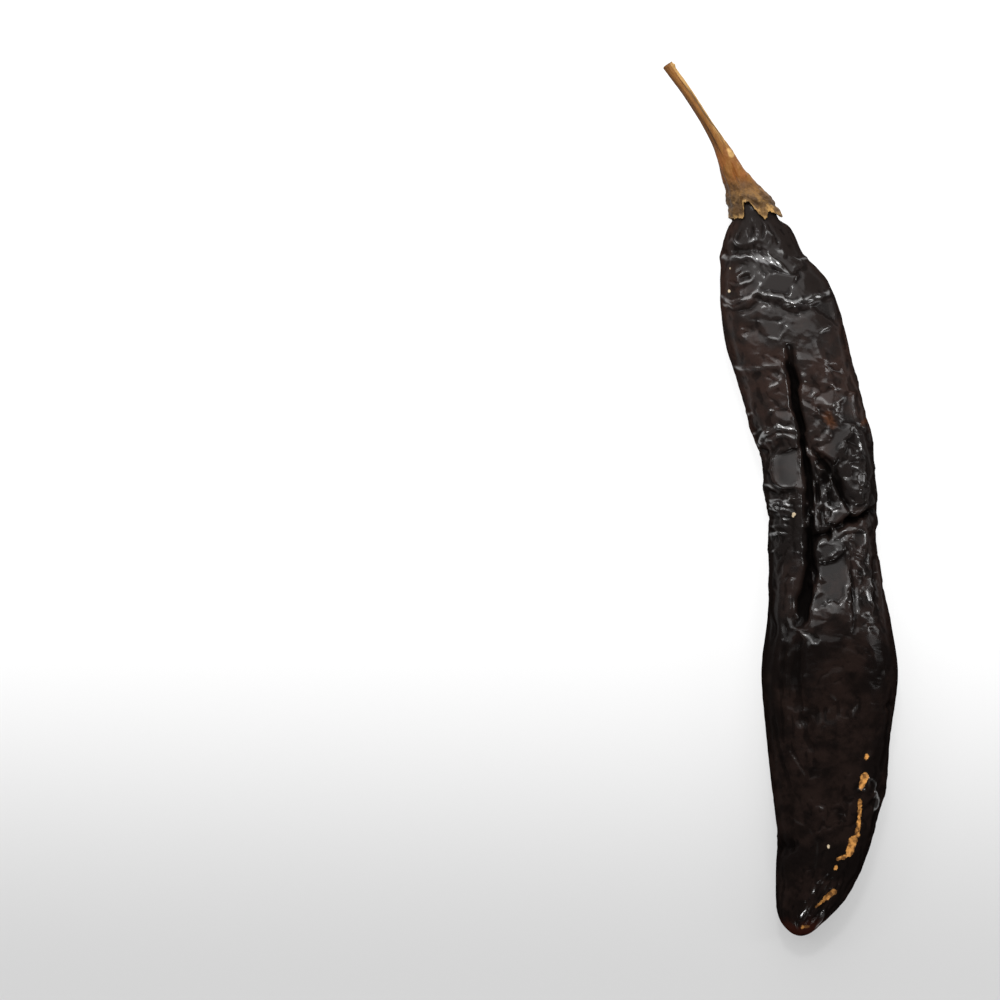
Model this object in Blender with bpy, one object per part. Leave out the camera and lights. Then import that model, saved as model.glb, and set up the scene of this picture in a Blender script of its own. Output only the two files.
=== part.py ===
"""A dried pasilla pepper lying on a surface: the wrinkled pod, and the stalk with its torn calyx.

Units are metres, +Z is up. The pepper lies along Y with its stalk towards +Y, and its underside rests on Z = 0.
Each solid starts as a UV sphere, whose rings become the sections of the piece from one end to the other.
Every section lies across Y, except on the stalk, where it turns square to the stalk's own line.
A place round a section is given in turns: 0 is the left edge (-X), 0.25 the crown, 0.5 the right edge
and 0.75 the underside.
"""

import math
from collections import namedtuple

import bmesh
import bpy
import numpy as np
from mathutils import Matrix

MM = 0.001

# The pod, from the end of its neck inside the calyx to its tip. A section's left and right edges are X values,
# its bottom and top are Z values, all in millimetres.
Section = namedtuple("Section", "y left right bottom top")
POD_SECTIONS = (
    Section(67.6, -7.1, -7.1, 8.6, 8.6),
    Section(67.2, -8.6, -5.0, 7.2, 10.0),
    Section(66.3, -9.7, -3.5, 5.9, 11.4),
    Section(64.9, -10.2, -2.0, 5.0, 12.4),
    Section(63.4, -10.4, -1.2, 4.6, 12.8),
    Section(61.6, -10.6, -0.4, 4.2, 13.0),
    Section(59.8, -11.6, 1.9, 3.4, 13.4),
    Section(54.1, -13.1, 4.9, 1.8, 14.4),
    Section(51.0, -13.0, 8.0, 1.0, 15.0),
    Section(48.0, -13.2, 10.5, 0.4, 15.6),
    Section(41.8, -13.1, 12.9, -0.3, 16.4),
    Section(34.1, -12.0, 15.0, -0.5, 16.8),
    Section(26.4, -9.6, 16.8, -0.6, 16.8),
    Section(17.6, -7.0, 19.2, -0.6, 16.6),
    Section(8.8, -5.2, 20.5, -0.6, 16.4),
    Section(0.0, -3.9, 21.3, -0.6, 16.2),
    Section(-8.8, -2.8, 21.0, -0.6, 15.8),
    Section(-17.6, -2.5, 22.4, -0.6, 16.0),
    Section(-26.4, -3.6, 24.2, -0.6, 16.6),
    Section(-38.5, -4.6, 25.8, -0.6, 17.2),
    Section(-50.6, -3.8, 24.8, -0.6, 17.0),
    Section(-62.7, -2.2, 23.2, -0.5, 16.2),
    Section(-72.2, -0.8, 20.8, -0.3, 15.2),
    Section(-81.4, -1.3, 17.8, 0.4, 13.8),
    Section(-87.6, -0.9, 14.6, 1.2, 12.2),
    Section(-93.7, 0.7, 8.8, 2.8, 9.4),
    Section(-96.1, 4.6, 4.6, 6.0, 6.0),
)
POD_SQUARENESS = 0.92  # 1 is an ellipse, and less is fuller towards the corners
POD_RINGS = 98
POD_SIDES = 60
SPACING_SAMPLES = 4001  # places at which the length along the surface is measured to space the rings evenly

# Folds and creases pressed into the pod's skin. Each follows points of (Y in millimetres, turns round the section).
# A positive depth is a valley, a negative one a raised pleat.
Fold = namedtuple("Fold", "name points depth width")
FOLDS = (
    Fold("main_groove", ((36.0, 0.245), (25.0, 0.242), (12.8, 0.224), (1.0, 0.213), (-13.0, 0.188),
                         (-23.0, 0.171), (-36.0, 0.156), (-47.0, 0.164), (-56.0, 0.19), (-63.0, 0.22)), 4.8, 2.5),
    Fold("right_groove", ((14.0, 0.232), (7.5, 0.275), (2.0, 0.30), (-5.0, 0.31)), 2.8, 1.9),
    Fold("sunken_panel", ((6.0, 0.235), (0.0, 0.245), (-7.0, 0.24)), 2.4, 3.6),
    Fold("diagonal_crease", ((-1.5, 0.44), (-4.4, 0.37), (-6.5, 0.31), (-8.4, 0.235), (-10.0, 0.19)), 3.0, 2.1),
    Fold("flap_above_crease", ((1.6, 0.46), (-1.0, 0.385), (-2.8, 0.33)), -1.5, 2.4),
    Fold("flank_slit", ((-10.0, 0.43), (-16.0, 0.43), (-25.0, 0.43)), 2.0, 1.4),
    Fold("panel_crease", ((-10.0, 0.31), (-18.0, 0.325), (-31.0, 0.325)), 1.1, 1.2),
    Fold("neck_valley_left", ((60.5, 0.17), (57.5, 0.18), (54.0, 0.20)), 0.8, 1.0),
    Fold("neck_valley_right", ((61.0, 0.30), (58.0, 0.31), (52.5, 0.33)), 0.9, 1.1),
    Fold("shoulder_fold", ((54.0, 0.03), (53.0, 0.13), (52.6, 0.20), (50.6, 0.27), (51.2, 0.33), (53.2, 0.45)),
         1.5, 1.6),
    Fold("shoulder_pleat", ((52.0, 0.03), (51.0, 0.13), (50.4, 0.20), (48.0, 0.27), (48.6, 0.33), (50.6, 0.45)),
         -0.9, 1.6),
    Fold("transverse_pleat", ((43.8, 0.03), (43.1, 0.10), (45.8, 0.17), (44.4, 0.24), (43.0, 0.30), (45.6, 0.42)),
         -1.1, 1.4),
    Fold("transverse_valley", ((41.8, 0.03), (41.0, 0.10), (43.6, 0.17), (42.4, 0.24), (41.0, 0.30), (43.4, 0.42)),
         1.3, 1.5),
    Fold("left_arch", ((15.0, 0.04), (13.8, 0.10), (15.3, 0.17), (14.9, 0.21)), 1.3, 1.3),
    Fold("left_step", ((2.6, 0.05), (2.8, 0.12), (3.0, 0.18)), 1.2, 1.2),
    Fold("left_flank_pleat", ((-20.0, 0.09), (-36.0, 0.075), (-50.0, 0.10)), -0.9, 1.5),
    Fold("left_flank_valley", ((-20.0, 0.12), (-36.0, 0.115), (-50.0, 0.14), (-60.0, 0.17)), 1.1, 1.5),
    Fold("tip_waist", ((-76.0, 0.02), (-79.0, 0.06), (-76.5, 0.13), (-72.0, 0.17)), 2.2, 2.0),
    Fold("right_notch", ((-46.0, 0.40), (-45.5, 0.47), (-44.5, 0.53)), 1.2, 1.4),
    Fold("under_groove", ((44.0, 0.62), (28.0, 0.64), (8.0, 0.60), (-14.0, 0.62), (-34.0, 0.60), (-58.0, 0.62)),
         3.4, 2.0),
    Fold("under_groove_left", ((40.0, 0.90), (20.0, 0.91), (-6.0, 0.93), (-30.0, 0.92), (-56.0, 0.90)), 2.6, 1.9),
)
FOLD_END_POWER = 0.6  # less makes a fold keep its depth closer to its ends

# The skin between the folds has sunk into shallow dimples that meet in ridges.
DIMPLE_SEED = 5
DIMPLE_COUNT = 210
DIMPLE_DEPTH = 1.7
DIMPLE_SINK = 0.35  # the share of the depth that lies below the smooth body
DIMPLE_RIDGE_REACH = 2.0  # a ridge has its full height at this many times the usual distance from a dimple's middle
DIMPLE_STRETCH = 1.45  # the dimples are this much wider than they are long

# The folds and dimples fade out on the neck inside the calyx, and again over the last stretch before the tip.
NECK_SMOOTH_ABOVE_Y = 61.0
NECK_WRINKLED_BELOW_Y = 57.0
TIP_FADE_LENGTH = 9.0

# The flat patch that the pod lies on: the folds fade out in a band above the lowest line.
REST_FADE_LOW = 0.2
REST_FADE_HIGH = 2.2

# The stalk and calyx, from the stalk's cut end to the rim of the calyx, in millimetres.
Ring = namedtuple("Ring", "y x z half_width half_height")
STALK_RINGS = (
    Ring(95.2, -24.4, 11.2, 1.25, 1.2),
    Ring(93.6, -23.3, 11.3, 1.15, 1.1),
    Ring(89.8, -20.6, 11.4, 1.05, 1.0),
    Ring(84.5, -17.2, 11.3, 1.05, 1.05),
    Ring(79.2, -13.9, 10.9, 1.4, 1.3),
    Ring(75.7, -12.0, 10.4, 1.95, 1.7),
    Ring(72.2, -10.35, 9.8, 2.65, 2.4),
    Ring(68.6, -8.25, 9.1, 3.75, 3.4),
    Ring(65.1, -6.5, 8.7, 5.2, 4.7),
    Ring(61.6, -5.4, 8.6, 5.95, 5.3),
)
STALK_SLANT = 33.0  # degrees by which the far sections turn to stand square to the stalk
SLANT_STARTS_Y = 63.0
SLANT_ENDS_Y = 80.0
STALK_RIBS = 5
STALK_RIB_HEIGHT = 0.11
STALK_RIB_TWIST = 0.035  # turns for each millimetre
CUT_END_ROUNDING = 0.35

# The torn rim of the calyx: how far above Y = RIM_Y its edge lies, at points round the section in turns.
RIM_Y = 61.6
RIM_EDGE = (
    (0.00, 0.5), (0.04, 0.0), (0.175, -0.1), (0.195, 2.9), (0.235, 3.3), (0.26, 2.0), (0.29, -0.5),
    (0.315, 0.9), (0.34, 2.0), (0.385, 1.8), (0.42, 0.6), (0.50, 0.2), (0.56, 1.6), (0.60, 2.4),
    (0.66, 0.2), (0.72, -0.4), (0.77, 1.9), (0.81, 2.2), (0.86, 0.3), (0.93, 0.0), (1.00, 0.5),
)
RIM_REACH = 6.0  # the sections above the rim follow its teeth over this length
CALYX_GAP = 0.32  # between the pod's neck and the inside of the calyx
STALK_OUTER_RINGS = 34
STALK_INNER_RINGS = 8
STALK_SIDES = 46

POD_COLOUR = (0.018, 0.013, 0.011, 1.0)
STALK_COLOUR = (0.33, 0.19, 0.075, 1.0)


def monotone_curve(knots, values, at):
    """Values at the given places on a smooth curve through the knots that never swings past them."""
    knots = np.asarray(knots, float)
    values = np.asarray(values, float)
    step = np.diff(knots)
    rise = np.diff(values) / step
    before, after = rise[:-1], rise[1:]
    turning = before * after <= 0
    mean = 2 * before * after / np.where(turning, 1.0, before + after)
    slope = np.concatenate([rise[:1], np.where(turning, 0.0, mean), rise[-1:]])
    at = np.clip(at, knots[0], knots[-1])
    i = np.clip(np.searchsorted(knots, at, side="right") - 1, 0, len(step) - 1)
    t = (at - knots[i]) / step[i]
    start = values[i] * (1 + 2 * t) * (1 - t) ** 2 + slope[i] * step[i] * t * (1 - t) ** 2
    end = values[i + 1] * t ** 2 * (3 - 2 * t) + slope[i + 1] * step[i] * t ** 2 * (t - 1)
    return start + end


def smooth_step(low, high, value):
    """0 below low, 1 above high, and a smooth rise between them."""
    t = np.clip((value - low) / (high - low), 0.0, 1.0)
    return t * t * (3 - 2 * t)


def pod_section(y):
    """Middle X, middle Z, half width and half height of the pod at Y, all in millimetres.

    The squares of the half sizes are interpolated, because they fall evenly to zero at a round end.
    """
    rows = np.array(POD_SECTIONS)[::-1]
    knots, left, right, bottom, top = rows.T
    middle_x = monotone_curve(knots, (left + right) / 2, y)
    middle_z = monotone_curve(knots, (bottom + top) / 2, y)
    half_width = np.sqrt(np.maximum(monotone_curve(knots, ((right - left) / 2) ** 2, y), 0.0))
    half_height = np.sqrt(np.maximum(monotone_curve(knots, ((top - bottom) / 2) ** 2, y), 0.0))
    return middle_x, middle_z, half_width, half_height


def full_round(value):
    """A cosine or sine with its round shape made fuller."""
    return np.sign(value) * np.abs(value) ** POD_SQUARENESS


def pod_body(y, turn, outset=0.0):
    """Points on the pod before it wrinkled, grown outwards by outset."""
    middle_x, middle_z, half_width, half_height = pod_section(y)
    angle = math.tau * turn
    x = middle_x - (half_width + outset) * full_round(np.cos(angle))
    z = middle_z + (half_height + outset) * full_round(np.sin(angle))
    return np.stack([x, y, z], axis=-1)


def pod_outward(y, turn):
    """Unit vectors that point out of the pod's sections."""
    _, _, half_width, half_height = pod_section(y)
    angle = math.tau * turn
    x = -np.cos(angle) * half_height
    z = np.sin(angle) * half_width
    length = np.maximum(np.hypot(x, z), 1e-9)
    return np.stack([x / length, np.zeros_like(x), z / length], axis=-1)


def distance_to_line(points, line):
    """Distance of each point to a broken line, and how far along it the nearest place lies, from 0 to 1."""
    nearest = np.full(len(points), np.inf)
    along = np.zeros(len(points))
    spans = len(line) - 1
    for i in range(spans):
        direction = line[i + 1] - line[i]
        offset = points - line[i]
        t = np.clip(offset @ direction / (direction @ direction), 0.0, 1.0)
        distance = np.linalg.norm(offset - t[:, None] * direction, axis=1)
        closer = distance < nearest
        nearest[closer] = distance[closer]
        along[closer] = (i + t[closer]) / spans
    return nearest, along


def fold_relief(body):
    """Height that the folds add to the body, in millimetres. Each one is bell-shaped across and fades at its ends."""
    height = np.zeros(len(body))
    for fold in FOLDS:
        line_y, line_turn = np.array(fold.points).T
        distance, along = distance_to_line(body, pod_body(line_y, line_turn))
        fade = np.maximum(np.sin(np.pi * along), 0.0) ** FOLD_END_POWER
        height -= fold.depth * fade * np.exp(-(distance / fold.width) ** 2)
    return height


def dimple_relief(body):
    """Height of the dimples: each is a shallow dish round a seeded point, and neighbours meet in a ridge."""
    random = np.random.default_rng(DIMPLE_SEED)
    seed_y = random.uniform(POD_SECTIONS[-1].y, POD_SECTIONS[0].y, DIMPLE_COUNT)
    seed_turn = random.uniform(0.0, 1.0, DIMPLE_COUNT)
    stretch = np.array([1.0, DIMPLE_STRETCH, 1.0])
    seeds = pod_body(seed_y, seed_turn) * stretch
    places = body * stretch
    squared = ((places[:, None, :] - seeds[None, :, :]) ** 2).sum(axis=2)
    reach = np.sqrt(squared.min(axis=1))
    typical = np.median(reach)
    rise = np.minimum(reach / typical / DIMPLE_RIDGE_REACH, 1.0) ** 2
    return DIMPLE_DEPTH * (rise - DIMPLE_SINK)


def pod_points(ring, turn):
    """The finished skin. Ring runs from 0 at the neck's end to 1 at the tip, evenly along the surface."""
    fine = np.linspace(0.0, 1.0, SPACING_SAMPLES)
    fine_y = POD_SECTIONS[0].y + (POD_SECTIONS[-1].y - POD_SECTIONS[0].y) * (1 - np.cos(np.pi * fine)) / 2
    _, _, half_width, half_height = pod_section(fine_y)
    run = np.hypot(np.diff(fine_y), np.diff((half_width + half_height) / 2))
    travelled = np.concatenate([[0.0], np.cumsum(run)])
    y = np.interp(ring * travelled[-1], travelled, fine_y)
    body = pod_body(y, turn)
    height = fold_relief(body) + dimple_relief(body)
    below_calyx = smooth_step(NECK_SMOOTH_ABOVE_Y, NECK_WRINKLED_BELOW_Y, y)
    above_tip = smooth_step(POD_SECTIONS[-1].y, POD_SECTIONS[-1].y + TIP_FADE_LENGTH, y)
    off_the_table = smooth_step(REST_FADE_LOW, REST_FADE_HIGH, body[:, 2])
    height *= below_calyx * above_tip * off_the_table
    skin = body + pod_outward(y, turn) * height[:, None]
    skin[:, 2] = np.maximum(skin[:, 2], 0.0)
    return skin


def rim_height(turn):
    """How far the torn rim lies above RIM_Y."""
    places, heights = np.array(RIM_EDGE).T
    return np.interp(turn % 1.0, places, heights)


def stalk_sleeve(y, turn):
    """Points on the outside of the stalk and calyx."""
    rows = np.array(STALK_RINGS)[::-1]
    knots, x, z, half_width, half_height = rows.T
    angle = math.tau * turn
    on_stalk = smooth_step(SLANT_STARTS_Y, SLANT_ENDS_Y, y)
    slant = math.radians(STALK_SLANT) * on_stalk
    ribs = 1.0 + STALK_RIB_HEIGHT * on_stalk * np.cos(STALK_RIBS * (angle + math.tau * STALK_RIB_TWIST * y))
    across = -monotone_curve(knots, half_width, y) * ribs * np.cos(angle)
    return np.stack([
        monotone_curve(knots, x, y) + across * np.cos(slant),
        y + across * np.sin(slant),
        monotone_curve(knots, z, y) + monotone_curve(knots, half_height, y) * ribs * np.sin(angle),
    ], axis=-1)


def stalk_points(ring, turn):
    """The closed surface of stalk and calyx: the cut end, down the outside to the torn rim, and up the cup inside."""
    rings = STALK_OUTER_RINGS + STALK_INNER_RINGS
    row = ring * rings
    outer = row <= STALK_OUTER_RINGS
    start_y, end_y = STALK_RINGS[0].y, RIM_Y
    down = np.clip((row - 1) / (STALK_OUTER_RINGS - 1), 0.0, 1.0)
    plain_y = start_y + (end_y - start_y) * down
    torn = rim_height(turn)
    outside_y = plain_y + torn * smooth_step(RIM_Y + RIM_REACH, RIM_Y, plain_y)
    outside = stalk_sleeve(outside_y, turn)
    end_ring = stalk_sleeve(np.full_like(turn, start_y), turn)
    end_middle = np.array([STALK_RINGS[0].x, start_y, STALK_RINGS[0].z])
    on_end = row < 1
    outside[on_end] = end_middle + (end_ring[on_end] - end_middle) * row[on_end, None]
    outside[row == 0, 1] += CUT_END_ROUNDING
    up = np.clip((row - STALK_OUTER_RINGS) / STALK_INNER_RINGS, 0.0, 1.0)
    neck_end = POD_SECTIONS[0].y
    inside_y = (RIM_Y + torn) + (neck_end - RIM_Y - torn) * np.sin(up * np.pi / 2)
    inside = pod_body(inside_y, turn, CALYX_GAP)
    inside[:, 1] += CALYX_GAP * up
    middle_x, middle_z, _, _ = pod_section(np.array([neck_end]))
    inside[ring > 1 - 1e-6] = (middle_x[0], neck_end + CALYX_GAP, middle_z[0])
    return np.where(outer[:, None], outside, inside)


def solid(name, rings, sides, shape, material, collection):
    """A UV sphere whose rings and sides are placed by shape, as one closed object."""
    mesh = bmesh.new()
    bmesh.ops.create_uvsphere(mesh, u_segments=sides, v_segments=rings, radius=1.0)
    sphere = np.array([vertex.co for vertex in mesh.verts])
    ring = np.arccos(np.clip(sphere[:, 2], -1.0, 1.0)) / math.pi
    turn = (np.arctan2(sphere[:, 1], sphere[:, 0]) / math.tau) % 1.0
    turn = np.round(turn * sides) / sides % 1.0
    ring = np.round(ring * rings) / rings
    for vertex, place in zip(mesh.verts, shape(ring, turn) * MM):
        vertex.co = place
    data = bpy.data.meshes.new(name)
    mesh.to_mesh(data)
    mesh.free()
    data.shade_smooth()
    data.materials.append(material)
    piece = bpy.data.objects.new(name, data)
    collection.objects.link(piece)
    return piece


def centre_on_origin(pieces):
    """Moves the pieces' vertices together, so that the middle of their common box lies on X = 0 and Y = 0."""
    corners = np.array([vertex.co for piece in pieces for vertex in piece.data.vertices])
    middle = (corners.min(axis=0) + corners.max(axis=0)) / 2
    for piece in pieces:
        piece.data.transform(Matrix.Translation((-middle[0], -middle[1], 0.0)))


def finish(name, colour, roughness):
    """A plain Principled material."""
    material = bpy.data.materials.new(name)
    material.use_nodes = True
    shader = material.node_tree.nodes["Principled BSDF"]
    shader.inputs["Base Color"].default_value = colour
    shader.inputs["Roughness"].default_value = roughness
    shader.inputs["Metallic"].default_value = 0.0
    material.diffuse_color = colour
    return material


def main():
    for old in list(bpy.data.objects):
        bpy.data.objects.remove(old)
    pepper = bpy.data.collections.new("pasilla_pepper")
    bpy.context.scene.collection.children.link(pepper)
    skin = finish("dried_skin", POD_COLOUR, 0.3)
    wood = finish("dry_stalk", STALK_COLOUR, 0.6)
    pod = solid("pod", POD_RINGS, POD_SIDES, pod_points, skin, pepper)
    stalk = solid("stalk_calyx", STALK_OUTER_RINGS + STALK_INNER_RINGS, STALK_SIDES, stalk_points, wood, pepper)
    centre_on_origin([pod, stalk])


main()
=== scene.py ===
# %% [markdown]
# # A dried pasilla pepper
# The real thing is a long, thin-walled fruit that has lost its water. Its skin was far too big for what
# was left inside, so it sank into valleys and crumpled, and then it set hard with a waxy sheen. Here the
# CAD model is the fixed frame: it says how big the pepper is and where it lies. The pieces below stand for
# it with a finer surface.

import math
from collections import namedtuple

import bpy
import numpy as np
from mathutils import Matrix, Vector


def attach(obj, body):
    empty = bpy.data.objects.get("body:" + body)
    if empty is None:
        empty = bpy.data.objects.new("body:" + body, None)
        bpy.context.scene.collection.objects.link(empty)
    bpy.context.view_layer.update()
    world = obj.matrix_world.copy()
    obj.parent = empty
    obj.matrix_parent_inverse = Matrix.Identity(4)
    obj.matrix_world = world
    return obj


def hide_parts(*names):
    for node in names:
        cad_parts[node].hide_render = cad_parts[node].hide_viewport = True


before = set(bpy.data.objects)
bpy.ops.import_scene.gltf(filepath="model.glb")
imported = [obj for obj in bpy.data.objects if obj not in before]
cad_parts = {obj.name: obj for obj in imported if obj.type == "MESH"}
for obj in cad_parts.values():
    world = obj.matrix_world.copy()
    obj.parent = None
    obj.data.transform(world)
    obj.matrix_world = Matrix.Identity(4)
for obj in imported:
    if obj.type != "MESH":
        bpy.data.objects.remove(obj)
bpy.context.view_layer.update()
MM = 0.001

# %% [markdown]
# ## The smooth body
# Before it wrinkled, the pod was a smooth bent tube. The way to describe such a body is a short table of
# sections: how far left, right, down and up it reaches at a few places along its length. A monotone cubic
# joins them, because a plain spline would swing past the widest places. Lengths are in millimetres until a
# mesh is made.

# %% Sections of the pod
Section = namedtuple("Section", "y left right bottom top")
POD_SECTIONS = (
    Section(67.6, -7.1, -7.1, 8.6, 8.6),
    Section(67.2, -8.6, -5.0, 7.2, 10.0),
    Section(66.3, -9.7, -3.5, 5.9, 11.4),
    Section(64.9, -10.2, -2.0, 5.0, 12.4),
    Section(63.4, -10.4, -1.2, 4.6, 12.8),
    Section(61.6, -10.6, -0.4, 4.2, 13.0),
    Section(59.8, -11.6, 1.9, 3.4, 13.4),
    Section(54.1, -13.1, 4.9, 1.8, 14.4),
    Section(51.0, -13.0, 8.0, 1.0, 15.0),
    Section(48.0, -13.2, 10.5, 0.4, 15.6),
    Section(41.8, -13.1, 12.9, -0.3, 16.4),
    Section(34.1, -12.0, 15.0, -0.5, 16.8),
    Section(26.4, -9.6, 16.8, -0.6, 16.8),
    Section(17.6, -7.0, 19.2, -0.6, 16.6),
    Section(8.8, -4.2, 20.4, -0.6, 16.4),
    Section(0.0, -3.4, 21.3, -0.6, 16.2),
    Section(-8.8, -2.8, 21.0, -0.6, 15.8),
    Section(-17.6, -2.5, 22.4, -0.6, 16.0),
    Section(-26.4, -2.9, 24.2, -0.6, 16.6),
    Section(-38.5, -4.2, 25.8, -0.6, 17.2),
    Section(-50.6, -3.2, 24.2, -0.6, 17.0),
    Section(-62.7, -1.9, 23.1, -0.5, 16.2),
    Section(-72.2, -0.8, 20.8, -0.3, 15.2),
    Section(-81.4, -0.9, 17.8, 0.4, 13.8),
    Section(-87.6, -0.9, 14.6, 1.2, 12.2),
    Section(-93.7, 0.7, 8.8, 2.8, 9.4),
    Section(-96.1, 4.6, 4.6, 6.0, 6.0),
)
POD_SQUARENESS = 0.86  # 1 is an ellipse, and less is fuller towards the corners
NECK_Y, TIP_Y = POD_SECTIONS[0].y, POD_SECTIONS[-1].y
SPACING_SAMPLES = 4001
FRAME_SHIFT = np.array([-0.226, 0.078, 0.0])  # from these sections to the frame, which has its box centred


def monotone_curve(knots, values, at):
    """Values at the given places on a smooth curve through the knots that never swings past them."""
    knots = np.asarray(knots, float)
    values = np.asarray(values, float)
    step = np.diff(knots)
    rise = np.diff(values) / step
    before, after = rise[:-1], rise[1:]
    turning = before * after <= 0
    mean = 2 * before * after / np.where(turning, 1.0, before + after)
    slope = np.concatenate([rise[:1], np.where(turning, 0.0, mean), rise[-1:]])
    at = np.clip(at, knots[0], knots[-1])
    i = np.clip(np.searchsorted(knots, at, side="right") - 1, 0, len(step) - 1)
    t = (at - knots[i]) / step[i]
    start = values[i] * (1 + 2 * t) * (1 - t) ** 2 + slope[i] * step[i] * t * (1 - t) ** 2
    end = values[i + 1] * t ** 2 * (3 - 2 * t) + slope[i + 1] * step[i] * t ** 2 * (t - 1)
    return start + end


def smooth_step(low, high, value):
    """0 below low, 1 above high, and a smooth rise between them."""
    t = np.clip((value - low) / (high - low), 0.0, 1.0)
    return t * t * (3 - 2 * t)


def pod_section(y):
    """Middle X, middle Z, half width and half height of the pod at Y. The squares of the half sizes are
    interpolated, because they fall evenly to zero at a round end."""
    rows = np.array(POD_SECTIONS)[::-1]
    knots, left, right, bottom, top = rows.T
    middle_x = monotone_curve(knots, (left + right) / 2, y)
    middle_z = monotone_curve(knots, (bottom + top) / 2, y)
    half_width = np.sqrt(np.maximum(monotone_curve(knots, ((right - left) / 2) ** 2, y), 0.0))
    half_height = np.sqrt(np.maximum(monotone_curve(knots, ((top - bottom) / 2) ** 2, y), 0.0))
    return middle_x, middle_z, half_width, half_height


def full_round(value):
    """A cosine or sine with its round shape made fuller."""
    return np.sign(value) * np.abs(value) ** POD_SQUARENESS


def pod_body(y, turn):
    """Points on the smooth body at Y and at a place round the section, in turns: 0 is the left edge, 0.25
    the crown, 0.5 the right edge and 0.75 the underside."""
    middle_x, middle_z, half_width, half_height = pod_section(y)
    x = middle_x - half_width * full_round(np.cos(math.tau * turn))
    z = middle_z + half_height * full_round(np.sin(math.tau * turn))
    return np.stack([x, y, z], axis=-1)


def turn_from_above(x, y):
    """Where round the section a place lies that is seen from above at X, Y."""
    middle_x, _, half_width, _ = pod_section(y)
    across = np.clip((middle_x - x) / half_width, -1.0, 1.0)
    cosine = np.sign(across) * np.abs(across) ** (1 / POD_SQUARENESS)
    return np.arccos(cosine) / math.tau


def unit(vectors):
    """Vectors scaled to length 1."""
    return vectors / np.maximum(np.linalg.norm(vectors, axis=-1, keepdims=True), 1e-12)


# %% [markdown]
# ## A net over the body
# The skin is a net of rings and sides. Its rings lie evenly along the body, and its sides are closer
# together on top, where the pepper is seen, than underneath. Every shape below is a whole array over this
# net, so numpy works on all of it at once.

# %% The net
TOP_CROWDING = 0.66  # how much closer the sides lie at the crown than on average


def net_places(rings, sides):
    """Y and turn of every point of the net."""
    fine = np.linspace(0.0, 1.0, SPACING_SAMPLES)
    fine_y = NECK_Y + (TIP_Y - NECK_Y) * (1 - np.cos(np.pi * fine)) / 2
    _, _, half_width, half_height = pod_section(fine_y)
    run = np.hypot(np.diff(fine_y), np.diff((half_width + half_height) / 2))
    travelled = np.concatenate([[0.0], np.cumsum(run)])
    row = (np.arange(rings) + 0.5) / rings
    y = np.interp(row * travelled[-1], travelled, fine_y)
    even = np.arange(sides) / sides
    turn = (even - TOP_CROWDING * np.sin(math.tau * (even - 0.25)) / math.tau) % 1.0
    return np.meshgrid(y, turn, indexing="ij")


def net_normals(points):
    """Outward directions of the net's own surface: its steps along and round, crossed."""
    along = np.gradient(points, axis=0)
    round_it = np.roll(points, -1, axis=1) - np.roll(points, 1, axis=1)
    return unit(np.cross(along, round_it))


def resample(field, rings, sides):
    """A field over a coarse net, read at the points of a finer one."""
    rows, columns = field.shape[:2]
    i = np.clip((np.arange(rings) + 0.5) / rings * rows - 0.5, 0, rows - 1)
    low = np.minimum(i.astype(int), rows - 2)
    t = (i - low)[:, None, None]
    field = field[low] * (1 - t) + field[low + 1] * t
    j = np.arange(sides) / sides * columns
    low = j.astype(int)
    t = (j - low)[None, :, None]
    return field[:, low] * (1 - t) + field[:, (low + 1) % columns] * t
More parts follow.
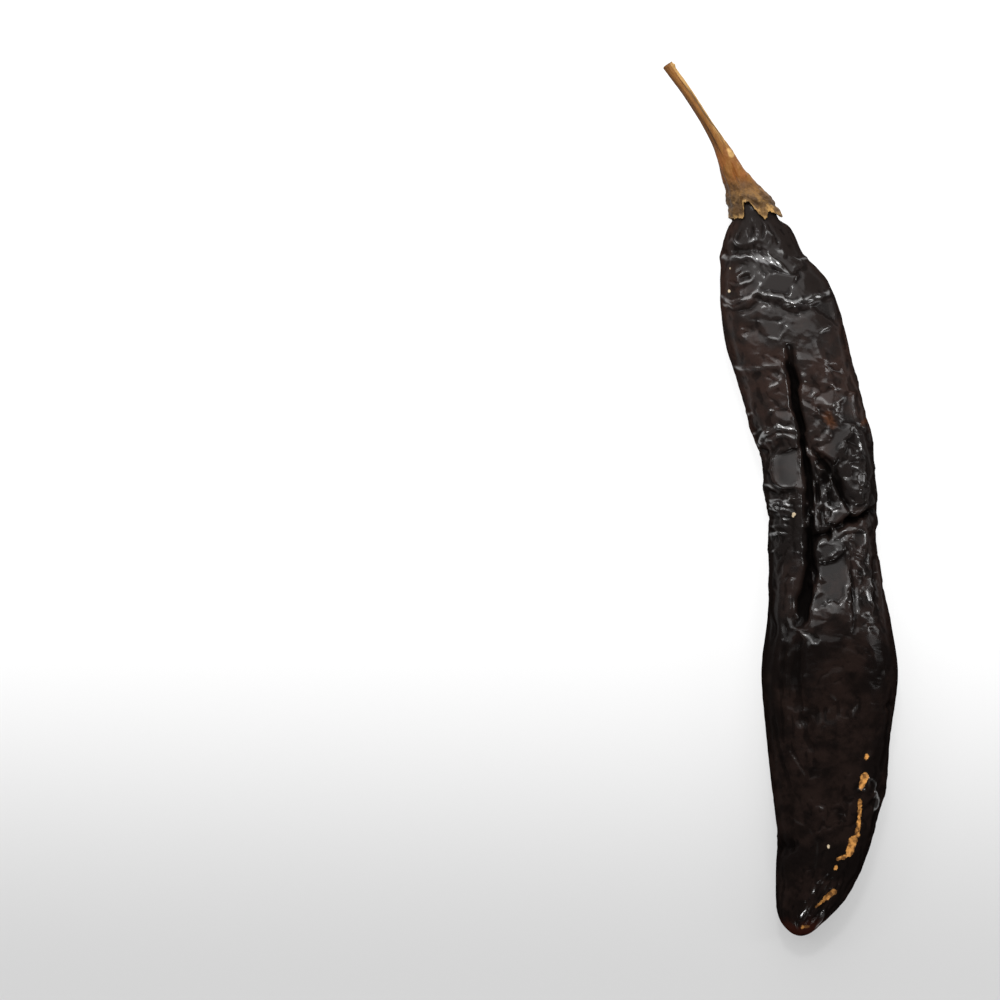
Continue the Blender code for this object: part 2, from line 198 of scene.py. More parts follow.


# %% [markdown]
# ## The folds that the pepper is known by
# A pepper is known by its folds: the long groove down its front, the crease that runs across it at
# mid-length, the pleats over its shoulder. Each is a line across the body, read off the photograph.
# The skin is pressed in or raised along it, and the fold fades at both ends. A creased fold has a sharp
# bottom or crest, which draws a thin line of light, and a rounded one is bell-shaped.

# %% Named folds
CREASED = 1.35
ROUNDED = 2.0
FLAT = 3.2
Fold = namedtuple("Fold", "name depth width points profile", defaults=(CREASED,))
NECK_AND_SHOULDER_FOLDS = (
    Fold("neck_pleat_far_left", 0.25, 0.45, ((-8.0, 60.9), (-8.7, 59.2), (-9.6, 57.2))),
    Fold("neck_pleat_left", 0.3, 0.45, ((-6.3, 60.9), (-6.5, 59.4), (-6.9, 57.4))),
    Fold("neck_pleat_middle", 0.3, 0.45, ((-5.2, 60.9), (-4.5, 59.2), (-4.1, 57.2))),
    Fold("neck_pleat_right", 0.3, 0.5, ((-3.4, 60.7), (-2.1, 58.7), (-1.0, 56.1))),
    Fold("neck_pleat_far_right", 0.25, 0.5, ((-1.6, 60.7), (0.6, 57.9), (2.5, 54.6))),
    Fold("neck_light_left", -0.37, 0.5, ((-12.0, 56.1), (-10.7, 57.0), (-9.3, 56.5), (-8.2, 55.4))),
    Fold("neck_light_fork", -0.28, 0.45, ((-8.0, 55.4), (-6.9, 56.5), (-5.4, 57.4))),
    Fold("neck_light_foot", -0.25, 0.4, ((-6.9, 56.5), (-6.0, 55.7), (-5.0, 55.2))),
    Fold("neck_light_right", -0.2, 0.4, ((-4.1, 57.4), (-2.8, 58.3), (-1.2, 57.6))),
    Fold("neck_facet_edge", -0.25, 0.45, ((-2.3, 55.2), (-0.8, 54.6), (0.8, 53.2))),
    Fold("neck_waist", 0.5, 1.3, ((-13.1, 54.1), (-9.3, 54.8), (-5.6, 54.3), (-3.6, 55.2)), ROUNDED),
    Fold("shoulder_ridge", -0.43, 0.6,
         ((-13.3, 53.0), (-7.2, 53.2), (-4.1, 52.6), (-1.9, 51.0), (0.6, 49.9), (2.5, 50.6), (4.5, 51.5))),
    Fold("shoulder_ridge_above", -0.28, 0.4, ((-3.4, 54.1), (-1.6, 52.1), (0.1, 50.8), (2.3, 51.0))),
    Fold("shoulder_ridge_right", -0.25, 0.4, ((1.4, 52.8), (3.9, 52.4), (5.8, 53.5))),
    Fold("shoulder_valley", 0.3, 0.9,
         ((-5.0, 51.3), (-2.3, 49.5), (0.8, 48.6), (3.9, 49.5), (6.0, 51.7)), ROUNDED),
    Fold("eye_lower", -0.28, 0.4, ((-12.0, 48.2), (-10.0, 47.3), (-7.6, 47.5), (-6.0, 48.8), (-5.6, 50.2))),
    Fold("eye_upper", -0.25, 0.4, ((-10.4, 48.2), (-8.5, 49.7), (-5.6, 50.4))),
    Fold("eye_hollow", 0.25, 0.8, ((-9.6, 48.2), (-8.5, 48.6), (-7.2, 49.1)), ROUNDED),
    Fold("band_ridge_left", -0.4, 0.45,
         ((-13.8, 44.7), (-11.1, 43.3), (-9.3, 43.8), (-7.6, 43.8), (-6.3, 44.7), (-4.5, 47.1))),
    Fold("band_ridge_below", -0.22, 0.4, ((-13.1, 43.1), (-10.7, 42.2), (-8.7, 42.9), (-6.7, 43.6))),
    Fold("band_ridge_right", -0.43, 0.45,
         ((-6.5, 44.7), (-2.3, 44.2), (0.3, 43.8), (2.3, 43.1), (4.5, 43.3), (6.5, 44.2), (10.9, 46.2))),
    Fold("band_crumple", -0.31, 0.4, ((-0.8, 41.6), (1.2, 42.5), (3.0, 42.7), (4.5, 42.2), (6.3, 43.1))),
    Fold("band_crumple_foot", -0.22, 0.4, ((-0.1, 42.9), (1.0, 42.0), (1.2, 40.9))),
    Fold("band_valley", 0.3, 0.8,
         ((-12.9, 41.4), (-8.5, 41.6), (-5.0, 42.9), (-1.9, 42.5), (2.1, 40.7), (6.0, 41.6),
          (10.0, 44.0)), ROUNDED),
)
UPPER_FOLDS = (
    Fold("v_ridge", -0.14, 0.5, ((-5.6, 38.7), (-3.9, 36.5), (-2.1, 35.0), (-0.3, 35.9), (2.8, 39.6))),
    Fold("v_hollow", 0.25, 2.0, ((-3.6, 38.7), (-1.9, 37.2), (0.3, 38.7)), ROUNDED),
    Fold("shoulder_light", -0.25, 0.4, ((7.6, 36.3), (9.1, 37.6), (10.9, 38.5))),
    Fold("right_lobe_ridge", -0.35, 1.5, ((6.7, 34.3), (8.7, 29.9), (9.6, 26.4), (9.1, 23.3)), ROUNDED),
    Fold("right_lobe_lens", 0.3, 0.9, ((13.1, 37.8), (14.0, 35.0), (14.2, 32.6)), ROUNDED),
    Fold("left_cross_ridge", -0.25, 0.5, ((-11.3, 29.9), (-8.7, 28.6), (-6.3, 28.4), (-0.1, 29.5))),
    Fold("left_cross_valley", 0.25, 1.0, ((-10.9, 27.7), (-7.6, 26.8), (-0.3, 27.9)), ROUNDED),
    Fold("left_light", -0.35, 0.45, ((-3.9, 23.5), (-1.9, 25.1), (0.6, 27.1))),
    Fold("left_light_low", -0.22, 0.4, ((-8.2, 18.9), (-5.6, 19.6))),
    Fold("left_light_lower", -0.22, 0.4, ((-3.9, 18.3), (-1.9, 19.4), (0.3, 19.6))),
    Fold("arch_upper", -0.2, 0.4, ((-6.9, 15.0), (-5.2, 15.6), (-3.4, 15.6))),
    Fold("arch_ridge", -0.56, 0.45, ((-5.4, 12.3), (-3.6, 14.5), (-1.0, 15.2), (1.6, 15.4), (4.1, 14.7))),
    Fold("arch_ridge_lower", -0.35, 0.4, ((-4.3, 12.1), (-2.3, 13.4), (0.3, 13.6), (2.8, 13.4))),
    Fold("arch_fold", 0.9, 0.9, ((-5.8, 11.7), (-3.6, 11.0), (-1.9, 11.0), (0.6, 11.9))),
    Fold("step_edge", -0.25, 0.5, ((-4.3, 3.1), (-0.6, 2.6), (2.3, 2.9), (3.9, 4.6))),
    Fold("step_fold", 1.0, 0.95, ((-4.3, 1.5), (-0.6, 1.1), (3.4, 1.8))),
    Fold("low_cross_ridge", -0.2, 0.4, ((-2.5, -11.7), (-0.1, -11.2), (2.5, -11.9))),
    Fold("lobe_facet_top", -0.25, 0.4, ((8.7, 23.5), (10.0, 25.3), (11.6, 23.5))),
    Fold("lobe_facet_side", -0.22, 0.45, ((5.4, 20.7), (7.8, 22.4), (10.4, 21.1), (11.8, 22.7))),
    Fold("lobe_crumple_top", -0.22, 0.4, ((5.8, 18.7), (8.2, 20.0), (10.7, 19.4))),
    Fold("lobe_hole", 0.6, 1.2, ((13.9, 14.6), (15.0, 12.6), (15.6, 10.8)), ROUNDED),
    Fold("lobe_lip", -0.3, 0.4, ((15.9, 15.2), (16.4, 13.2), (17.4, 11.0), (18.2, 9.0))),
    Fold("lobe_crumple_foot", -0.22, 0.5, ((14.2, 7.7), (16.6, 6.6), (19.0, 4.6))),
    Fold("edge_flap", 1.0, 0.8, ((17.9, 22.4), (18.8, 18.0), (18.6, 13.2))),
)
FINE_WRINKLES = tuple(
    Fold("fine_wrinkle", -0.4, 0.35, ((-3.0, y - 0.1), (-1.0, y + 0.2), (1.8, y - 0.1)))
    for y in (-0.4, -1.3, -2.3, -3.4, -4.5, -5.8, -7.6)
)
GROOVES = (
    Fold("main_groove", 2.9, 1.2,
         ((1.6, 33.9), (2.3, 25.1), (3.2, 19.6), (4.5, 13.2), (5.2, 9.0), (5.6, 5.0)), FLAT),
    Fold("main_groove_middle", 2.4, 1.0,
         ((4.3, 14.0), (5.2, 8.6), (5.8, 1.1), (6.0, -6.8), (5.8, -12.0)), ROUNDED),
    Fold("main_groove_low", 3.0, 1.5,
         ((5.9, -6.0), (5.8, -13.2), (5.2, -18.7), (4.2, -23.1), (3.2, -28.2)), FLAT),
    Fold("main_groove_foot", 0.9, 1.8,
         ((4.3, -19.8), (3.0, -27.5), (2.5, -34.1), (2.8, -40.7), (3.9, -46.6), (5.6, -53.9),
          (7.4, -60.5)), ROUNDED),
    Fold("groove_lip", -0.45, 1.1,
         ((4.1, 11.9), (4.3, 6.6), (4.5, 2.2), (3.9, -4.4), (3.4, -12.3)), ROUNDED),
    Fold("sunken_panel", 1.6, 2.6, ((7.2, 9.2), (8.7, 2.2), (9.6, -5.3)), FLAT),
    Fold("second_groove", 2.3, 1.15,
         ((5.2, 11.9), (8.5, 9.0), (11.1, 5.5), (12.7, 1.8), (14.4, -2.2), (15.9, -4.6))),
    Fold("panel_leaf", -0.28, 0.4, ((5.4, -1.8), (6.9, -4.6), (8.5, -7.7))),
    Fold("panel_facet", -0.28, 0.4, ((7.8, -2.2), (8.7, -0.2), (10.0, -1.5), (11.6, -2.6), (13.1, -4.6))),
    Fold("cross_crease", 2.9, 1.1,
         ((22.3, -1.3), (19.7, -2.9), (17.1, -4.0), (14.8, -4.8), (12.2, -6.2), (8.2, -7.9), (4.7, -9.2))),
    Fold("cross_flap", -0.56, 1.5,
         ((21.9, 0.0), (18.8, -1.5), (15.7, -2.9), (12.7, -4.2), (9.1, -5.9)), ROUNDED),
    Fold("crease_frame", -0.22, 0.4,
         ((15.1, -8.8), (15.5, -6.8), (16.8, -6.2), (18.1, -7.3), (18.4, -10.1))),
    Fold("panel_crease", 1.0, 0.65,
         ((13.3, -9.5), (14.4, -13.6), (15.1, -18.0), (15.3, -23.3), (15.5, -29.5))),
    Fold("panel_round_facet", 0.14, 0.4, ((11.4, -9.0), (11.2, -11.6), (9.6, -13.4), (7.8, -12.6))),
    Fold("panel_slant", 0.12, 0.4, ((7.0, -16.4), (10.0, -15.8), (12.6, -13.2))),
    Fold("panel_low_slant", 0.11, 0.4, ((5.8, -19.8), (8.4, -18.4), (11.0, -19.0), (13.2, -17.4))),
    Fold("flank_slit", 1.7, 0.85, ((20.4, -12.1), (21.0, -16.5), (21.0, -20.9), (20.6, -25.5))),
    Fold("flank_facet", -0.22, 0.45, ((18.1, -18.0), (19.2, -21.6), (21.4, -24.0))),
)
LOWER_FOLDS = (
    Fold("left_line_outer", 0.4, 0.6, ((-1.9, -15.4), (-2.1, -22.0), (-1.9, -28.6), (-2.8, -36.1))),
    Fold("left_line_inner", 0.45, 0.65, ((0.6, -18.7), (0.3, -30.8), (-0.6, -44.0), (0.1, -53.9))),
    Fold("left_line_low", 0.35, 0.65, ((1.9, -33.0), (1.4, -44.0), (2.3, -52.8), (5.6, -61.2))),
    Fold("left_line_lowest", 0.3, 0.65, ((-2.5, -43.1), (-1.4, -52.8), (1.2, -60.7), (4.5, -66.7))),
    Fold("swirl_upper", -0.2, 0.4, ((1.2, -54.1), (4.1, -58.5), (7.4, -62.9))),
    Fold("swirl_lower", -0.2, 0.5, ((5.2, -70.8), (7.4, -76.1), (6.9, -81.4))),
    Fold("swirl_side", -0.2, 0.4, ((1.9, -68.6), (3.6, -70.2), (5.4, -70.8))),
    Fold("dark_band", 0.5, 2.2, ((3.2, -45.3), (7.6, -46.6), (12.0, -45.8), (16.6, -46.9)), ROUNDED),
    Fold("band_speck_left", -0.25, 0.4, ((10.4, -41.8), (11.1, -42.9), (12.0, -43.8))),
    Fold("band_speck_right", -0.25, 0.4, ((15.9, -44.7), (15.5, -46.0), (15.1, -47.5))),
    Fold("patch_edge", -0.2, 0.4, ((3.0, -29.0), (5.0, -30.1), (6.9, -31.7), (8.0, -29.9))),
    Fold("right_small_edge", -0.2, 0.4, ((15.9, -29.3), (17.3, -28.2), (18.8, -28.4))),
    Fold("rim_fold", 0.9, 0.65, ((23.9, -40.5), (23.6, -47.3), (23.0, -53.9), (21.9, -59.8))),
    Fold("right_notch", 0.9, 0.9, ((25.2, -44.2), (23.6, -44.9), (21.9, -45.3)), ROUNDED),
    Fold("edge_crumple_left", -0.25, 0.4, ((15.1, -64.7), (16.4, -63.6), (18.1, -63.8))),
    Fold("edge_crumple_middle", -0.25, 0.4, ((17.5, -59.2), (18.8, -61.2), (18.4, -64.2))),
    Fold("edge_crumple_right", -0.25, 0.4, ((19.0, -60.3), (20.6, -62.9), (20.1, -66.0))),
    Fold("white_streak", -0.5, 0.45, ((20.2, -63.8), (21.2, -66.0), (20.4, -69.7))),
    Fold("streak_valley", 0.7, 0.9, ((19.9, -65.6), (20.8, -69.3), (19.2, -74.4)), ROUNDED),
    Fold("small_cross_light", -0.2, 0.4, ((6.9, -67.3), (9.6, -67.5))),
    Fold("tip_waist", 1.3, 1.3, ((-2.3, -74.4), (-0.8, -76.8), (1.2, -76.3), (3.6, -74.4)), ROUNDED),
    Fold("tip_light_left", -0.28, 0.4, ((4.1, -92.2), (5.2, -90.0), (6.3, -88.2))),
    Fold("tip_light_right", -0.28, 0.4, ((6.3, -95.4), (7.8, -92.8), (9.1, -90.6), (8.3, -89.1))),
    Fold("tip_light_upper", -0.22, 0.4, ((6.9, -86.2), (7.8, -84.5))),
    Fold("tip_light_low", -0.22, 0.4, ((2.8, -92.8), (4.1, -94.8))),
    Fold("tip_side_valley", 0.5, 0.9, ((10.0, -83.6), (9.1, -87.3), (6.9, -90.6)), ROUNDED),
)
UNDERSIDE_FOLDS = (  # their points are turn and Y, because they aren't seen from above
    Fold("under_groove", 3.4, 1.8,
         ((0.62, 44.0), (0.64, 28.0), (0.60, 8.0), (0.62, -14.0), (0.60, -34.0), (0.62, -58.0)), ROUNDED),
    Fold("under_groove_left", 2.6, 1.7,
         ((0.90, 40.0), (0.91, 20.0), (0.93, -6.0), (0.92, -30.0), (0.90, -56.0)), ROUNDED),
    Fold("shoulder_ridge_under", -0.43, 0.6, ((0.98, 53.0), (0.88, 52.0), (0.74, 53.0), (0.62, 51.5))),
    Fold("band_ridge_under", -0.43, 0.55,
         ((0.99, 44.5), (0.9, 43.0), (0.8, 45.0), (0.66, 44.0), (0.55, 46.0))),
    Fold("left_side_pleat", -0.31, 0.55, ((0.99, 22.0), (0.95, 14.0), (0.97, 2.0))),
    Fold("right_side_pleat", -0.31, 0.55, ((0.56, -14.0), (0.58, -30.0), (0.55, -46.0))),
    Fold("under_cross_fold", 0.9, 0.9, ((0.66, -5.0), (0.74, -8.0), (0.86, -4.0))),
)
FOLD_END_POWER = 0.6
FOLD_UNEVENNESS = 0.25
UNEVEN_SEED = 5
FOLD_STEP = 0.6  # length of the straight pieces that a fold's smooth line is made of
FOLD_REACH = 3.0  # a fold is felt this many times its width away
WOBBLES = (((34, 16), 0.35), ((90, 46), 0.16))  # places along and round the body, and size in millimetres


def line_from_above(fold):
    """The places along and round the body of a fold whose points are X and Y, as seen from above."""
    x, y = np.array(fold.points).T
    return y, turn_from_above(x, y)


def line_underneath(fold):
    """The same for a fold that isn't seen from above: its points are turn and Y."""
    turn, y = np.array(fold.points).T
    return y, turn


def fold_line(y, turn):
    """A smooth line on the body through a fold's points, as points that are a fold step apart."""
    knots = np.arange(len(y), dtype=float)
    length = np.abs(np.diff(pod_body(y, turn), axis=0)).sum()
    at = np.linspace(0.0, knots[-1], max(int(length / FOLD_STEP), 3))
    return pod_body(monotone_curve(knots, y, at), monotone_curve(knots, turn, at))


def measure_to_line(points, line):
    """Shortest distance from each point to a line of straight pieces, and how far along it that is, 0 to 1.

    On each piece the nearest place is the point's shadow on it, kept between the piece's two ends.
    """
    piece = np.diff(line, axis=0)
    squared = (piece ** 2).sum(axis=1)
    offset = points[:, None, :] - line[:-1]
    share = np.clip((offset * piece).sum(axis=2) / squared, 0.0, 1.0)
    gap = ((offset - share[..., None] * piece) ** 2).sum(axis=2)
    nearest = gap.argmin(axis=1)
    row = np.arange(len(points))
    travelled = np.concatenate([[0.0], np.cumsum(np.sqrt(squared))])
    along = travelled[nearest] + share[row, nearest] * np.sqrt(squared[nearest])
    return np.sqrt(gap[row, nearest]), along / travelled[-1]


def cloud(shape, cells, seed):
    """Soft random values over the net, joined up round it: a coarse grid with smooth steps between."""
    cells_along, cells_round = cells
    values = np.random.default_rng(seed).normal(size=(cells_along + 3, cells_round))
    i = np.linspace(0, cells_along, shape[0])
    low = i.astype(int)
    t = smooth_step(0.0, 1.0, i - low)[:, None]
    rows = values[low] * (1 - t) + values[low + 1] * t
    j = np.arange(shape[1]) / shape[1] * cells_round
    low = j.astype(int)
    t = smooth_step(0.0, 1.0, j - low)[None, :]
    return np.clip(rows[:, low] * (1 - t) + rows[:, (low + 1) % cells_round] * t, -1.5, 1.5)


def layered_clouds(shape, kinds, seed):
    """Several clouds of different fineness and size laid over one another."""
    return sum(size * cloud(shape, cells, seed + number) for number, (cells, size) in enumerate(kinds))


def wobbled(body):
    """The body's points moved a little to and fro, so that a fold measured from them is unsteady."""
    shape = body.shape[:2]
    moves = [sum(size * cloud(shape, cells, 10 * number + axis)
                 for number, (cells, size) in enumerate(WOBBLES)) for axis in range(3)]
    return body + np.stack(moves, axis=-1)


def fold_relief(body, narrowest):
    """Height that the folds add to the body, without the folds that are too narrow for the net, and the
    height of the sharp raised ones alone. Across its line a fold falls off as e to the minus of its
    distance in widths, to the power of its profile, and it fades at its ends."""
    height = np.zeros(body.shape[:2])
    ridge = np.zeros(body.shape[:2])
    body = wobbled(body)
    lines = [(fold, line_from_above(fold))
             for fold in NECK_AND_SHOULDER_FOLDS + UPPER_FOLDS + FINE_WRINKLES + GROOVES + LOWER_FOLDS]
    lines += [(fold, line_underneath(fold)) for fold in UNDERSIDE_FOLDS]
    for fold, places in lines:
        if fold.width < narrowest:
            continue
        line = fold_line(*places)
        reach = FOLD_REACH * fold.width
        low, high = line.min(axis=0) - reach, line.max(axis=0) + reach
        near = ((body > low) & (body < high)).all(axis=2)
        gap, along = measure_to_line(body[near], line)
        fade = np.maximum(np.sin(np.pi * along), 0.0) ** FOLD_END_POWER
        sunk = fold.depth * fade * np.exp(-(gap / fold.width) ** fold.profile)
        height[near] -= sunk
        if fold.profile == CREASED:
            ridge[near] = np.maximum(ridge[near], -sunk)
    return height * (1 + FOLD_UNEVENNESS * cloud(height.shape, WOBBLES[1][0], UNEVEN_SEED)), ridge


# %% [markdown]
# ## Flat panels
# Here and there the dried skin is stretched flat between two folds, and such a panel shows one even grey.
# Each is a many-sided outline read off the photograph, within which the skin follows a plane. The
# large light stands beyond the stalk, so the plane's slope along the pepper sets its tone: a level panel
# stays nearly black, and one that falls by a tenth towards the stalk is mid grey.

# %% Flat panels
Panel = namedtuple("Panel", "name slope corners depth", defaults=(0.0,))  # its slope is along Y
PANELS = (
    Panel("neck_patch", -0.3, ((-1.9, 55.2), (0.3, 54.9), (0.2, 53.2), (-1.4, 53.4))),
    Panel("shoulder", -0.055, ((-3.0, 49.3), (3.6, 49.3), (1.4, 45.1), (-5.4, 45.3)), 0.1),
    Panel("by_the_v", -0.05, ((-5.4, 38.9), (0.8, 38.7), (-0.6, 36.3), (-1.5, 34.9), (-3.5, 35.9)), 0.05),
    Panel("below_the_ridge", -0.04,
          ((6.1, 42.4), (10.6, 44.4), (11.8, 41.3), (12.2, 38.4), (10.5, 40.0), (8.0, 40.7)), 0.05),
    Panel("left_patch", -0.08, ((-2.5, 19.5), (0.6, 19.9), (1.6, 18.9), (1.3, 16.9), (-1.0, 17.5))),
    Panel("beside_the_groove", -0.1,
          ((7.2, 23.1), (9.8, 24.9), (11.1, 23.7), (10.7, 21.4), (6.4, 21.1)), 0.1),
    Panel("flank_above_the_lobe", -0.05,
          ((12.2, 21.3), (14.4, 23.1), (16.0, 23.2), (16.4, 19.6), (15.8, 16.8), (13.6, 17.2),
           (12.2, 19.6))),
    Panel("lobe_middle", -0.09,
          ((11.9, 15.1), (13.9, 16.3), (15.4, 15.1), (13.6, 12.7), (12.2, 11.4), (11.2, 7.6), (9.4, 9.6),
           (7.3, 11.2), (10.2, 13.4)), 0.05),
    Panel("lobe_low", -0.08, ((11.9, 5.2), (14.6, 4.6), (16.7, 3.1), (13.9, 2.2), (12.6, 2.8))),
    Panel("left_lobe", -0.075,
          ((-2.2, 9.6), (0.6, 10.4), (3.2, 11.4), (3.7, 7.0), (3.2, 2.6), (1.0, 2.2), (-1.4, 2.8),
           (-2.4, 6.2))),
    Panel("between_the_grooves", -0.1, ((7.8, 3.1), (10.0, 4.3), (10.5, 2.4), (9.8, -0.3), (8.5, 1.1))),
    Panel("leaf", -0.08, ((5.9, -3.5), (7.4, -4.2), (8.4, -4.6), (8.1, -7.4), (6.9, -6.0))),
    Panel("above_the_crease", -0.08,
          ((8.6, -0.7), (9.9, -2.5), (12.0, -2.1), (14.4, -4.2), (11.4, -5.6), (9.9, -4.6),
           (9.1, -2.8)), 0.1),
    Panel("crease_side", -0.03, ((14.1, -0.7), (18.8, -0.4), (18.8, -1.4), (16.2, -3.0), (14.8, -2.6))),
    Panel("below_the_crease_round", -0.08,
          ((7.9, -10.3), (11.3, -8.9), (11.3, -11.0), (8.8, -14.1), (8.1, -12.4)), 0.1),
    Panel("below_the_crease", -0.11,
          ((6.3, -15.5), (8.2, -13.6), (11.0, -13.2), (13.4, -11.6), (14.2, -16.9), (13.6, -21.0),
           (12.2, -22.4), (11.0, -21.6), (9.4, -22.4), (8.6, -20.2), (6.2, -18.0), (9.1, -17.4)), 0.35),
    Panel("below_the_crease_tip", -0.1,
          ((8.1, -19.8), (9.5, -21.0), (9.0, -23.2), (6.0, -23.9), (4.9, -24.6), (5.5, -22.6)), 0.05),
    Panel("crease_frame", -0.08,
          ((15.5, -7.4), (18.0, -6.9), (18.3, -10.0), (16.9, -10.6), (15.3, -9.2)), 0.1),
    Panel("right_flank", -0.02,
          ((18.0, -16.9), (19.4, -16.6), (19.9, -19.1), (19.8, -23.2), (18.8, -21.9), (17.9, -19.1)), 0.1),
    Panel("foot_patch", -0.1,
          ((3.0, -28.6), (4.6, -29.7), (6.3, -29.3), (7.7, -30.4), (5.4, -32.1), (3.9, -30.7))),
    Panel("right_patch", -0.08,
          ((16.2, -27.9), (18.0, -27.2), (18.9, -27.9), (18.3, -29.0), (16.9, -29.0))),
)
PANEL_LEAN = 0.6  # share of the body's own slope sideways that a panel keeps
PANEL_EDGE = 0.35  # millimetres over which a panel goes over into the skin beside it
PANEL_MARGIN = 1.0  # millimetres beyond its corners within which a panel may be felt


def panel_cover(places, corners):
    """1 inside a many-sided outline and 0 outside, with a narrow rise. A place is inside where a line from
    it to the right crosses the outline an odd number of times."""
    outline = np.array(corners + corners[:1])
    gap, _ = measure_to_line(places, outline)
    inside = np.zeros(len(places), bool)
    for (x, y), (next_x, next_y) in zip(outline[:-1], outline[1:]):
        straddled = (y > places[:, 1]) != (next_y > places[:, 1])
        crossing = x + (next_x - x) * (places[:, 1] - y) / (next_y - y)
        inside ^= straddled & (places[:, 0] < crossing)
    return smooth_step(-PANEL_EDGE, PANEL_EDGE, np.where(inside, gap, -gap))


def flat_panels(body, turn):
    """Height that brings the top of the body to the panels' planes, and each place's share in a panel."""
    unsteady = wobbled(body)
    height = np.zeros(turn.shape)
    cover = np.zeros(turn.shape)
    for panel in PANELS:
        corners = np.array(panel.corners)
        low, high = corners.min(axis=0) - PANEL_MARGIN, corners.max(axis=0) + PANEL_MARGIN
        near = ((body[..., :2] > low) & (body[..., :2] < high)).all(axis=2) & (turn < 0.5)
        places = body[near]
        middle = corners.mean(axis=0)
        share = panel_cover(unsteady[near][:, :2], panel.corners)
        offset = np.column_stack([places[:, :2] - middle, np.ones(len(places))])
        level = np.linalg.lstsq(offset[share > 0.5], places[share > 0.5, 2], rcond=None)[0]
        plane = offset @ np.array([level[0] * PANEL_LEAN, panel.slope, level[2] - panel.depth])
        height[near] = height[near] * (1 - share) + (plane - places[:, 2]) * share
        cover[near] = np.maximum(cover[near], share)
    return height, cover


# %% [markdown]
# ## Crumpling the skin
# Between the folds the skin is crumpled, and no formula for noise looks quite like it: crumples have sharp
# ridges, flat facets and Y-shaped meetings, because the skin is too long for the body but can't stretch.
# Two things make them here. Thousands of low roofs, straight crests with two flat sides, lie at random
# over one another, so that their sides show as facets. And the net is treated as what it is, a sheet of
# springs a little too long for the body, held loosely to it, and left to settle. Where the slack runs
# lengthwise the wrinkles lie across the pepper, as on its left side, and where it runs round the section
# they lie along it, as at the neck.

# %% Slack in the skin
Slack = namedtuple("Slack", "y left_along left_round right_along right_round under_along under_round")
SLACK_ROWS = (  # shares of the level's slack, on the left and right of the top and underneath
    Slack(60.0, 0.2, 0.5, 0.2, 0.5, 0.2, 1.0),
    Slack(54.0, 0.3, 0.4, 0.2, 0.3, 0.7, 0.8),
    Slack(48.0, 0.2, 0.1, 0.1, 0.1, 0.9, 0.5),
    Slack(42.0, 0.3, 0.1, 0.2, 0.1, 0.9, 0.5),
    Slack(34.0, 0.15, 0.1, 0.15, 0.1, 0.7, 0.7),
    Slack(24.0, 0.3, 0.1, 0.3, 0.2, 0.9, 0.7),
    Slack(14.0, 0.5, 0.2, 0.5, 0.3, 0.9, 0.7),
    Slack(0.0, 0.8, 0.2, 0.6, 0.4, 0.9, 0.7),
    Slack(-10.0, 0.6, 0.2, 0.5, 0.4, 0.8, 0.8),
    Slack(-22.0, 0.2, 0.2, 0.3, 0.3, 0.7, 0.9),
    Slack(-31.0, 0.1, 0.2, 0.3, 0.2, 0.7, 0.9),
    Slack(-40.0, 0.05, 0.2, 0.1, 0.05, 0.8, 0.8),
    Slack(-58.0, 0.1, 0.2, 0.2, 0.1, 0.8, 0.8),
    Slack(-66.0, 0.2, 0.4, 0.8, 0.8, 0.8, 0.8),
    Slack(-78.0, 0.3, 0.4, 0.4, 0.4, 0.8, 0.8),
    Slack(-96.0, 0.6, 0.8, 0.6, 0.8, 0.9, 1.0),
)
Level = namedtuple("Level", "rings sides steps slack bend hold noise")
LEVELS = (
    Level(236, 100, 200, 0.005, 0.01, 0.02, 0.08),
    Level(440, 154, 160, 0.02, 0.003, 0.02, 0.03),
)
FINE_RINGS = 800
FINE_SIDES = 124
NARROW_FOLD = 0.65  # millimetres, the width under which a fold is only on the finest net
LINKS = ((1, 0), (0, 1), (1, 1), (1, -1))  # steps along and round the net between points that are tied
Roofs = namedtuple("Roofs", "number shortest longest slope turned")
ROOFS = (  # how many, their lengths, the steepest side, and how far they turn out of line
    Roofs(240, 9.0, 22.0, 0.22, 0.7),
    Roofs(1100, 4.0, 10.0, 0.33, 0.9),
    Roofs(3400, 2.0, 4.6, 0.34, 1.2),
)
ROOF_NARROW = 0.24  # width over half length
ROOF_WIDE = 0.55
ROOF_LEAST_STEEP = 0.35  # share of its kind's slope
ROOF_TOP_STRAY = 0.5  # share of the half length by which the top lies off the middle
RAISED_SHARE = 0.55
ROOF_SEED = 21
ROOF_WANDER = 0.35  # how far a roof's line strays
ROOF_WANDER_CELLS = (60, 28)
FOLD_CALM = 0.7  # share of the crumples that is missing where a deep fold has drawn the skin tight
CRUMPLE_ROWS = (  # Y, and how strongly the skin is crumpled there on the left and on the right
    (67.6, 0.3, 0.3), (58.0, 0.3, 0.3), (50.0, 0.2, 0.2), (40.0, 0.22, 0.25), (34.0, 0.25, 0.35),
    (25.0, 0.35, 0.6), (14.0, 0.6, 0.85), (5.0, 0.75, 1.0), (-8.0, 0.8, 0.9), (-18.0, 0.4, 0.65),
    (-26.0, 0.2, 0.4), (-34.0, 0.15, 0.25), (-45.0, 0.2, 0.25), (-62.0, 0.2, 0.35), (-68.0, 0.3, 0.7),
    (-78.0, 0.3, 0.5), (-96.1, 0.5, 0.5),
)
SHALLOW_FOLD = 0.4  # millimetres: lower folds stop at a panel and leave the crumples as they are
DEEP_FOLD = 1.2  # and higher ones run through panels and draw the skin tight
RIM_CALM = 0.3  # share of the crumples that is missing at the left and right edges
RIM_CALM_POWER = 4
PANEL_HOLD = 0.3
BODY_ROUND = 76.0  # millimetres round the skin, rolled out flat
CRUMPLE_SEED = 3
PATCH_SEED = 11
NOISE_CELLS = (60, 28)  # places along and round the body where the first unevenness changes
